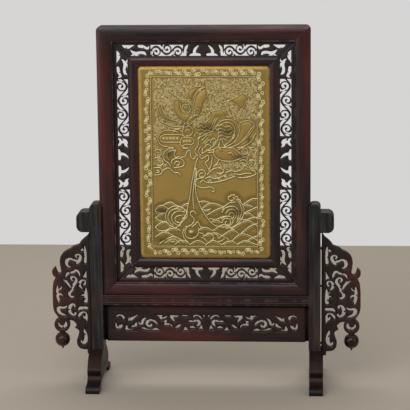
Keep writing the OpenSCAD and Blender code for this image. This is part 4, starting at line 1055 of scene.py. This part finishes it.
def patina():
    """Old brass: bright where a ridge is rubbed, dark beside it, stained, spotted, brown at the roll."""
    nodes, given = group(
        "brass patina", "ShaderNodeTree",
        {"Place": (VECTOR, None), "Raised": (FLOAT, 0.0), "Hollow": (FLOAT, 0.0), "Rolled": (FLOAT, 0.0),
         "Stained": (FLOAT, 0.0), "Bright": (COLOR, None), "Dull": (COLOR, None), "Dark": (COLOR, None),
         "Brown": (COLOR, None)},
        {"Color": COLOR, "Dullness": FLOAT, "Height": FLOAT},
    )
    cloudy = nodes.noise(given["Place"], 22.0, 6.0)
    specks = nodes.noise(given["Place"], 420.0, 3.0)
    spots = nodes.noise(given["Place"], 130.0, 3.0)
    blotchy = nodes.times_plus(cloudy, 1.1, 0.4)
    color = nodes.mix(nodes.spread(cloudy, 0.48, 0.72, end=0.75), given["Dull"], given["Brown"])
    color = nodes.mix(nodes.times(given["Rolled"], blotchy, clamp=True), color, given["Brown"])
    color = nodes.mix(nodes.times(given["Hollow"], blotchy, clamp=True), color, given["Dark"])
    color = nodes.mix(nodes.spread(given["Raised"], 0.1, 0.9), color, given["Bright"])
    spotted = nodes.times_plus(given["Rolled"], 0.12, spots)
    color = nodes.mix(nodes.spread(spotted, 0.63, 0.74, end=0.7), color, given["Dark"])
    stained = nodes.times(given["Stained"], nodes.times_plus(spots, 1.5, -0.1), clamp=True)
    color = nodes.mix(stained, color, nodes.mix(0.75, given["Dark"], (*STAIN_BLACK, 1)))
    nodes.end(Color=color, Dullness=nodes.spread(specks, 0.3, 0.7), Height=specks)
    return nodes.tree


# Finishes

DUST_GREY = (0.26, 0.235, 0.21)
STAIN_BLACK = (0.02, 0.02, 0.018)
GRAIN = timber_grain()
WEAR = edge_wear()
DUST_AND_SHADE = dust_and_painted_shade()
PATINA = patina()


def wood(name, deep, warm, red, worn, reach, gloss, dusty, patchy=0.3, shine=0.42):
    """Old polished wood: dark grain, red where hands have rubbed it thin, worn edges, dust on top, and
    painted shade in the corners.
    """
    material, nodes = empty_material(name)
    place = nodes.add("ShaderNodeAttribute", attribute_name="grain").outputs["Vector"]
    grain = nodes.add("ShaderNodeGroup", {"Place": place}, node_tree=GRAIN).outputs
    wear = nodes.get("ShaderNodeGroup", {
        "From Edge": nodes.marked("from_edge"), "Place": place, "Reach": reach}, node_tree=WEAR)
    dust_and_shade = nodes.add("ShaderNodeGroup", {
        "From Corner": nodes.marked("from_corner"), "Place": place}, node_tree=DUST_AND_SHADE).outputs
    uneven = nodes.spread(grain["Figure"], 0.45, 0.59)
    torn = nodes.times_plus(uneven, 0.5, 0.65)
    thinned_to = nodes.times_plus(nodes.marked("handled"), torn, nodes.times(uneven, patchy), clamp=True)
    dust = nodes.times(dust_and_shade["Dust"], dusty)
    color = nodes.mix(nodes.spread(grain["Streaks"], 0.41, 0.61), (*deep, 1), (*warm, 1))
    color = nodes.mix(thinned_to, color, (*red, 1))
    color = nodes.mix(nodes.times(wear, 0.8), color, (*worn, 1))
    # Painted shade: the wood is darkened in inner corners and along the bars that a board meets
    color = nodes.mix(nodes.times(dust_and_shade["Grime"], 0.7), color, (*[0.4 * c for c in deep], 1))
    color = nodes.mix(dust, color, (*DUST_GREY, 1))
    rough = nodes.spread(grain["Streaks"], 0.3, 0.7, gloss, gloss + 0.14)
    rough = nodes.times_plus(dust, 0.5, nodes.times_plus(uneven, -0.08, rough))
    relief = nodes.times_plus(grain["Pores"], -0.5, grain["Streaks"])
    bump = nodes.get("ShaderNodeBump", {"Strength": 0.3, "Distance": 0.0004, "Height": relief})
    nodes.end_surface({
        "Base Color": color, "Roughness": rough, "Normal": bump, "Specular IOR Level": shine})
    return material


def brass(name, bright, dull, dark, brown):
    """Old embossed brass, by how raised, hollow, rolled and stained the sheet is marked."""
    material, nodes = empty_material(name)
    place = nodes.add("ShaderNodeTexCoord").outputs["Object"]
    marks = {label.title(): nodes.marked(label) for label in ("raised", "hollow", "rolled", "stained")}
    colors = {"Bright": (*bright, 1), "Dull": (*dull, 1), "Dark": (*dark, 1), "Brown": (*brown, 1)}
    aged = nodes.add("ShaderNodeGroup", {"Place": place, **marks, **colors}, node_tree=PATINA).outputs
    rough = nodes.spread(aged["Dullness"], 0.0, 1.0, 0.44, 0.62)
    bump = nodes.get("ShaderNodeBump", {"Strength": 0.2, "Distance": 0.0002, "Height": aged["Height"]})
    nodes.end_surface({"Base Color": aged["Color"], "Metallic": 0.85, "Roughness": rough, "Normal": bump})
    return material


FRAME_WOOD = wood(
    "dark red frame wood", (0.006, 0.004, 0.0046), (0.023, 0.0092, 0.0094), (0.083, 0.0165, 0.0135),
    (0.16, 0.085, 0.078), reach=0.05, gloss=0.32, dusty=0.03)
FRET_WOOD = wood(
    "fretwork wood", (0.008, 0.006, 0.0063), (0.021, 0.012, 0.0118), (0.05, 0.016, 0.013),
    (0.06, 0.036, 0.031), reach=0.03, gloss=0.42, dusty=0.05, patchy=0.25)
POST_WOOD = wood(
    "blackened post wood", (0.0033, 0.0037, 0.0046), (0.025, 0.0246, 0.0262), (0.09, 0.024, 0.012),
    (0.1, 0.084, 0.08), reach=0.06, gloss=0.4, dusty=0.35, patchy=0.05)
FOOT_WOOD = wood(
    "polished foot wood", (0.002, 0.0014, 0.0013), (0.008, 0.004, 0.0032), (0.035, 0.007, 0.004),
    (0.04, 0.022, 0.017), reach=0.04, gloss=0.4, dusty=0.02, patchy=0.2, shine=0.26)
CARVED_WOOD = wood(
    "carved stand wood", (0.006, 0.0042, 0.0045), (0.019, 0.0092, 0.0088), (0.076, 0.0155, 0.011),
    (0.055, 0.028, 0.023), reach=0.03, gloss=0.36, dusty=0.05)
BALL_WOOD = wood(
    "turned ball wood", (0.005, 0.0038, 0.0036), (0.013, 0.008, 0.0064), (0.08, 0.03, 0.012),
    (0.05, 0.028, 0.02), reach=0.02, gloss=0.16, dusty=0.08, patchy=0.2, shine=0.3)
OLD_BRASS = brass(
    "old brass", (0.98, 0.88, 0.52), (0.46, 0.318, 0.092), (0.20, 0.145, 0.038), (0.55, 0.32, 0.09))


# Repeated brass ornament

# The curls' spacing, how far each is moved at random, and how clear they keep of forms and of strokes
CURL_PITCH = 5.6
CURL_SHIFT = 1.4
CURL_SEED = 4
CLEAR_OF_SWELLS = 2.2
CLEAR_OF_RIDGES = 2.4
# How far the middle of the wires stands before the face, and how bright curls and scrolls are rubbed
WIRE_PROUD = 0.1
CURL_BRIGHT = 0.8
BORDER_BRIGHT = 0.85
# The middle of the border, up from the sheet's lower edge
BORDER_MIDDLE = 232


def plain_copy(piece, name):
    """What a piece's modifiers make of it, as a plain mesh."""
    ready = piece.evaluated_get(bpy.context.evaluated_depsgraph_get())
    mesh = bpy.data.meshes.new_from_object(ready)
    mesh.name = name
    bpy.data.objects.remove(piece)
    return mesh


def curl_tree():
    """One chased curl on each point: a tapering spiral wire, turned and sized at random."""
    nodes, given = group(
        "cloud curls", "GeometryNodeTree",
        {"Geometry": (GEOMETRY, None), "Radius": (FLOAT, 0.0031), "Turns": (FLOAT, 1.1),
         "Wire": (FLOAT, 0.0007), "Least Size": (FLOAT, 0.6), "Seed": (WHOLE, 5),
         "Finish": (MATERIAL, None)},
        {"Geometry": GEOMETRY},
    )
    core = nodes.times(given["Radius"], 0.28)
    curl = nodes.wire(nodes.spiral(given["Turns"], core, given["Radius"], 8), given["Wire"])
    upright = nodes.moved(curl, "Rotation", (math.radians(90), 0, 0))
    copies = nodes.get("GeometryNodeInstanceOnPoints", {
        "Points": given["Geometry"], "Instance": upright,
        "Rotation": nodes.xyz(y=nodes.any_of(0.0, math.tau, given["Seed"])),
        "Scale": nodes.any_of(given["Least Size"], 1.1, given["Seed"])})
    nodes.end_shape(copies, given["Finish"])
    return nodes.tree


def border_tree():
    """Scrolls and small flowers that follow the rim of the picture all the way round."""
    nodes, given = group(
        "border scrolls", "GeometryNodeTree",
        {"Geometry": (GEOMETRY, None), "Width": (FLOAT, 0.268), "Height": (FLOAT, 0.4295),
         "Pitch": (FLOAT, 0.022), "Radius": (FLOAT, 0.0053), "Turns": (FLOAT, 1.35),
         "Wire": (FLOAT, 0.00115), "Petal": (FLOAT, 0.0018), "Lean": (FLOAT, 0.2),
         "Uneven": (FLOAT, 0.5), "Seed": (WHOLE, 3), "Finish": (MATERIAL, None)},
        {"Geometry": GEOMETRY},
    )
    path = nodes.get("GeometryNodeCurvePrimitiveQuadrilateral", {0: given["Width"], 1: given["Height"]})
    eased = nodes.get(
        "GeometryNodeFilletCurve", {"Curve": path, "Radius": given["Pitch"], "Count": 5}, mode="POLY")
    stops = nodes.add(
        "GeometryNodeCurveToPoints", {"Curve": eased, "Length": given["Pitch"]}, mode="LENGTH").outputs

    spiral = nodes.spiral(given["Turns"], nodes.times(given["Radius"], 0.2), given["Radius"], 12)
    below = nodes.xyz(nodes.times(given["Radius"], given["Lean"]), nodes.times(given["Radius"], -1.0))
    half = nodes.moved(spiral, "Translation", below)
    other = nodes.moved(half, "Rotation", (0, 0, math.pi))
    scroll = nodes.wire(nodes.joined(half, other), given["Wire"])

    ring = nodes.get("GeometryNodeMeshCircle", {"Vertices": 6, "Radius": given["Petal"]})
    petal = nodes.get("GeometryNodeMeshIcoSphere", {"Radius": given["Petal"], "Subdivisions": 1})
    petals = nodes.get("GeometryNodeInstanceOnPoints", {
        "Points": nodes.moved(ring, "Scale", (1.9, 1.9, 1)), "Instance": petal})
    forward = nodes.xyz(y=nodes.times(given["Pitch"], 0.5))
    flower = nodes.moved(nodes.joined(petals, petal), "Translation", forward)
    one = nodes.get("GeometryNodeRealizeInstances", {0: nodes.joined(flower, scroll)})

    along = nodes.get("FunctionNodeAlignRotationToVector", {"Vector": stops["Tangent"]}, axis="Y")
    copies = nodes.get("GeometryNodeInstanceOnPoints", {
        "Points": stops[0], "Instance": one, "Rotation": along,
        "Scale": nodes.any_of(0.82, 1.12, given["Seed"])})
    turn = nodes.any_of(nodes.times(given["Uneven"], -1.0), given["Uneven"], given["Seed"])
    turned = nodes.get("GeometryNodeRotateInstances", {"Instances": copies, "Rotation": nodes.xyz(z=turn)})
    nodes.end_shape(turned, given["Finish"])
    return nodes.tree


def grown(name, base, tree, **values):
    """A plain mesh made by a geometry tree from a base mesh, with its named inputs set."""
    piece = bpy.data.objects.new(name, base)
    bpy.context.scene.collection.objects.link(piece)
    modifier = piece.modifiers.new(tree.name, "NODES")
    modifier.node_group = tree
    sockets = {s.name: s.identifier for s in tree.interface.items_tree if s.item_type == "SOCKET"}
    for label, value in values.items():
        modifier[sockets[label]] = value
    return plain_copy(piece, name)


def point_mesh(name, points):
    """A mesh of loose points."""
    mesh = bpy.data.meshes.new(name)
    mesh.from_pydata([tuple(p) for p in points], [], [])
    return mesh


def curl_places():
    """Where the clouds' small curls go, clear of every ridge and plain form."""
    spots = hex_grid(RULES[0], RULES[2], CURL_PITCH)
    shift = np.random.default_rng(CURL_SEED).uniform(-CURL_SHIFT, CURL_SHIFT, spots.shape)
    spots = spots + shift
    spots = spots[np.any([in_outline(spots, field) for field in CURL_FIELDS], axis=0)]
    for ring in OUTLINES:
        spots = spots[~in_outline(spots, ring) & (from_line(spots, ring) > CLEAR_OF_SWELLS)]
    for points in RIDGES:
        spots = spots[from_line(spots, line_of(points, OUTLINE_STEP)) > CLEAR_OF_RIDGES]
    y = SHEET_FACE - WIRE_PROUD
    return [(x * MM, y * MM, (z + SHEET_BOTTOM) * MM) for x, z in spots]


def stand_up(mesh, middle):
    """Stands a mesh that was made lying flat up against the face of the sheet, around a middle height."""
    up = Matrix.Rotation(math.radians(90), 4, "X")
    mesh.transform(Matrix.Translation((0, (SHEET_FACE - WIRE_PROUD) * MM, middle)) @ up)


# The stand's drop balls: the ball's radius, its middle above the lower end, the angles between which
# its round runs, and the turned foot and neck as radius and height from the middle
BALL_R = 18.0
BALL_FINIAL = 24.0
BALL_FROM, BALL_TO = -78, 66
BALL_RINGS = 28
BALL_SIDES = 48
BALL_FOOT = [(0, -24), (1.1, -23.7), (1.6, -22.5), (1.5, -21.1), (2.8, -20.4), (3.2, -19.2), (2.9, -18.1)]
BALL_NECK = [(6.2, 17.1), (5.8, 18), (2.5, 18), (2.5, 23.3), (0, 23.3)]
BALL_SHARP = math.radians(40)


def turned_ball(name, node):
    """A turned ball with a neck under the ring and a small finial, on its stud."""
    low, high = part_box(node)
    x = (low.x + high.x) / 2
    centre = low.z + BALL_FINIAL * MM
    angles = np.radians(np.linspace(BALL_FROM, BALL_TO, BALL_RINGS))
    profile = BALL_FOOT + [(BALL_R * math.cos(a), BALL_R * math.sin(a)) for a in angles] + BALL_NECK
    verts, faces = [], []
    for r, h in profile:
        for k in range(BALL_SIDES):
            a = math.tau * k / BALL_SIDES
            verts.append((x + r * MM * math.cos(a), r * MM * math.sin(a), centre + h * MM))
    for i in range(0, len(verts) - BALL_SIDES, BALL_SIDES):
        for k in range(BALL_SIDES):
            j = (k + 1) % BALL_SIDES
            faces.append((i + k, i + j, i + BALL_SIDES + j, i + BALL_SIDES + k))
    mesh = bpy.data.meshes.new(name)
    mesh.from_pydata(verts, [], faces)
    bm = bmesh.new()
    bm.from_mesh(mesh)
    bmesh.ops.remove_doubles(bm, verts=bm.verts, dist=WELD)
    bmesh.ops.holes_fill(bm, edges=bm.edges)
    bmesh.ops.recalc_face_normals(bm, faces=bm.faces)
    bm.to_mesh(mesh)
    bm.free()
    clear = np.ones(len(mesh.vertices))
    wooden_piece(name, node, mesh, BALL_WOOD, "stand", 2, clear, clear, BALL_SHARP)


# The screen


def opening(left, bottom, top):
    """Half the width, half the height and the middle height of a rectangle."""
    return -left, (top - bottom) / 2, (top + bottom) / 2


# The rectangles between which the pierced border lies: the outer frame's opening, and the inner
# frame's outline
FRET_RIMS = [
    opening(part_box("frame_left")[1].x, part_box("frame_bottom")[1].z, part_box("frame_top")[0].z),
    opening(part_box("inner_left")[0].x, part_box("inner_bottom")[0].z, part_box("inner_top")[1].z),
]


def mitre_grooves(along):
    """Short grooves beside the mitres of the border, for a board that runs along X (0) or Z (2)."""
    (out_w, out_h, middle), (in_w, in_h, _) = ([round(size / MM, 3) for size in rim] for rim in FRET_RIMS)
    lines = []
    for sx, sz, shift in itertools.product((-1, 1), (-1, 1), GROOVE_SHIFTS):
        dx, dz = (shift, 0) if along == 0 else (0, shift)
        a = (sx * (in_w + FROM_INNER - dx), middle + sz * (in_h + FROM_INNER - dz))
        b = (sx * (out_w - FROM_OUTER - dx), middle + sz * (out_h - FROM_OUTER - dz))
        lines.append(straight(a, b, GROOVE_STEP))
    return lines


for side, along in (("top", 0), ("bottom", 0), ("left", 2), ("right", 2)):
    worn_bar(f"{side}_frame_bar", f"frame_{side}", FRAME_WOOD, "screen", along)
    worn_bar(f"{side}_inner_bar", f"inner_{side}", FRAME_WOOD, "screen", along)
    pierced_board(
        f"{side}_fretwork", f"fret_{side}", FRET_WOOD, "screen", along,
        mitre_grooves(along), FRET_RIMS)
worn_bar("backing_board", "core_board", FRAME_WOOD, "screen", 2)
worn_bar("panel_dowels", "panel_pins", FRAME_WOOD, "screen", 0)

sheet = new_piece("brass_sheet", sheet_mesh(), OLD_BRASS, "screen")
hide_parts("plaque")
curls = grown("cloud_curls", point_mesh("curl places", curl_places()), curl_tree(), Finish=OLD_BRASS)
mark(curls, "raised", np.full(len(curls.vertices), CURL_BRIGHT))
new_piece("cloud_curls", curls, OLD_BRASS, "screen")
border = grown("border_scrolls", point_mesh("border start", []), border_tree(), Finish=OLD_BRASS)
stand_up(border, (SHEET_BOTTOM + BORDER_MIDDLE) * MM)
mark(border, "raised", np.full(len(border.vertices), BORDER_BRIGHT))
new_piece("border_scrolls", border, OLD_BRASS, "screen")

# The stand

for side in ("left", "right"):
    worn_bar(f"{side}_post_bar", f"post_{side}", POST_WOOD, "stand", 2)
    worn_bar(f"{side}_ear_block", f"ear_{side}", POST_WOOD, "stand", 2)
    worn_bar(f"{side}_foot_block", f"foot_{side}", FOOT_WOOD, "stand", 1)
    worn_bar(f"{side}_wing_dowels", f"wing_pegs_{side}", POST_WOOD, "stand", 0)
    pierced_board(f"{side}_carved_wing", f"wing_{side}", CARVED_WOOD, "stand", 2)
    turned_ball(f"{side}_turned_ball", f"drop_ball_{side}")
worn_bar("moulded_seat", "seat_rail", FRAME_WOOD, "stand", 0)
pierced_board("pierced_apron", "apron", CARVED_WOOD, "stand", 0)

# Floor, light and camera

FLOOR_HALF = 4
FLOOR_END = 1.53
FLOOR_COLOR = (0.475, 0.41, 0.335)
WALL_COLOR = (0.675, 0.665, 0.66)
MIDDLE = (0, 0, 0.45)
CAMERA_AT = Vector((0.2635, -4.0617, 1.2300))
CAMERA_YAW, CAMERA_PITCH, CAMERA_ROLL = 0.0648, 0.1931, -0.01
CAMERA_LENS, CAMERA_SENSOR = 153.4, 36.0


def plain_floor():
    """The floor, which ends behind the object where the pale wall begins."""
    mesh = bpy.data.meshes.new("floor")
    wide, end = FLOOR_HALF, FLOOR_END
    corners = [(-wide, -wide, 0), (wide, -wide, 0), (wide, end, 0), (-wide, end, 0)]
    mesh.from_pydata(corners, [], [(0, 1, 2, 3)])
    material = bpy.data.materials.new("floor")
    material.use_nodes = True
    shader = material.node_tree.nodes["Principled BSDF"]
    shader.inputs["Base Color"].default_value = (*FLOOR_COLOR, 1)
    shader.inputs["Roughness"].default_value = 0.8
    shader.inputs["Specular IOR Level"].default_value = 0.2
    mesh.materials.append(material)
    floor = bpy.data.objects.new("floor", mesh)
    bpy.context.scene.collection.objects.link(floor)


def soft_light(name, place, aim, size, power, color):
    """A rectangular lamp at a place, turned to what it is aimed at."""
    data = bpy.data.lights.new(name, "AREA")
    data.shape = "RECTANGLE"
    data.size, data.size_y = size
    data.energy = power
    data.color = color
    light = bpy.data.objects.new(name, data)
    bpy.context.scene.collection.objects.link(light)
    light.location = place
    light.rotation_euler = (Vector(aim) - Vector(place)).to_track_quat("-Z", "Y").to_euler()


def room_light():
    """Light from all round, brighter from above, and the plain wall that the camera sees."""
    world = bpy.data.worlds.new("room light")
    bpy.context.scene.world = world
    world.use_nodes = True
    nodes = Nodes(world.node_tree)
    way = nodes.add("ShaderNodeTexCoord").outputs["Generated"]
    above = nodes.spread(nodes.add("ShaderNodeSeparateXYZ", {0: way}).outputs["Z"], 0.1, 0.9)
    room = nodes.mix(above, (0.13, 0.13, 0.135, 1), (0.5, 0.5, 0.505, 1))
    seen = nodes.add("ShaderNodeLightPath").outputs["Is Camera Ray"]
    wall = nodes.mix(seen, room, (*WALL_COLOR, 1))
    nodes.tree.links.new(wall, nodes.tree.nodes["Background"].inputs["Color"])


def place_camera():
    """The camera at the photograph's viewing angle, turned a little about its own line of sight."""
    ahead = Vector((
        -math.sin(CAMERA_YAW) * math.cos(CAMERA_PITCH),
        math.cos(CAMERA_YAW) * math.cos(CAMERA_PITCH),
        -math.sin(CAMERA_PITCH),
    ))
    level = Vector((math.cos(CAMERA_YAW), math.sin(CAMERA_YAW), 0))
    over = level.cross(ahead)
    turn, rise = math.cos(CAMERA_ROLL), math.sin(CAMERA_ROLL)
    facing = Matrix((turn * level + rise * over, turn * over - rise * level, -ahead)).transposed()
    lens = bpy.data.cameras.new("camera")
    lens.sensor_width = CAMERA_SENSOR
    lens.lens = CAMERA_LENS
    camera = bpy.data.objects.new("camera", lens)
    bpy.context.scene.collection.objects.link(camera)
    camera.matrix_world = Matrix.Translation(CAMERA_AT) @ facing.to_4x4()
    bpy.context.scene.camera = camera


plain_floor()
room_light()
soft_light("ceiling", (-0.6, -2.7, 2.3), MIDDLE, (2.4, 1.4), 39, (0.98, 0.99, 1.0))
soft_light("window", (-2.4, -2.3, 1.2), MIDDLE, (1.2, 1.4), 21, (0.95, 0.975, 1.0))
soft_light("opposite wall", (2.6, -2.0, 1.2), MIDDLE, (1.4, 1.4), 9, (0.95, 0.975, 1.0))
soft_light("far ceiling", (0, 1.3, 2.4), (0, 0.7, 0), (3.4, 1.4), 22, (1.0, 1.0, 1.0))
place_camera()
bpy.context.scene.view_settings.view_transform = "Standard"
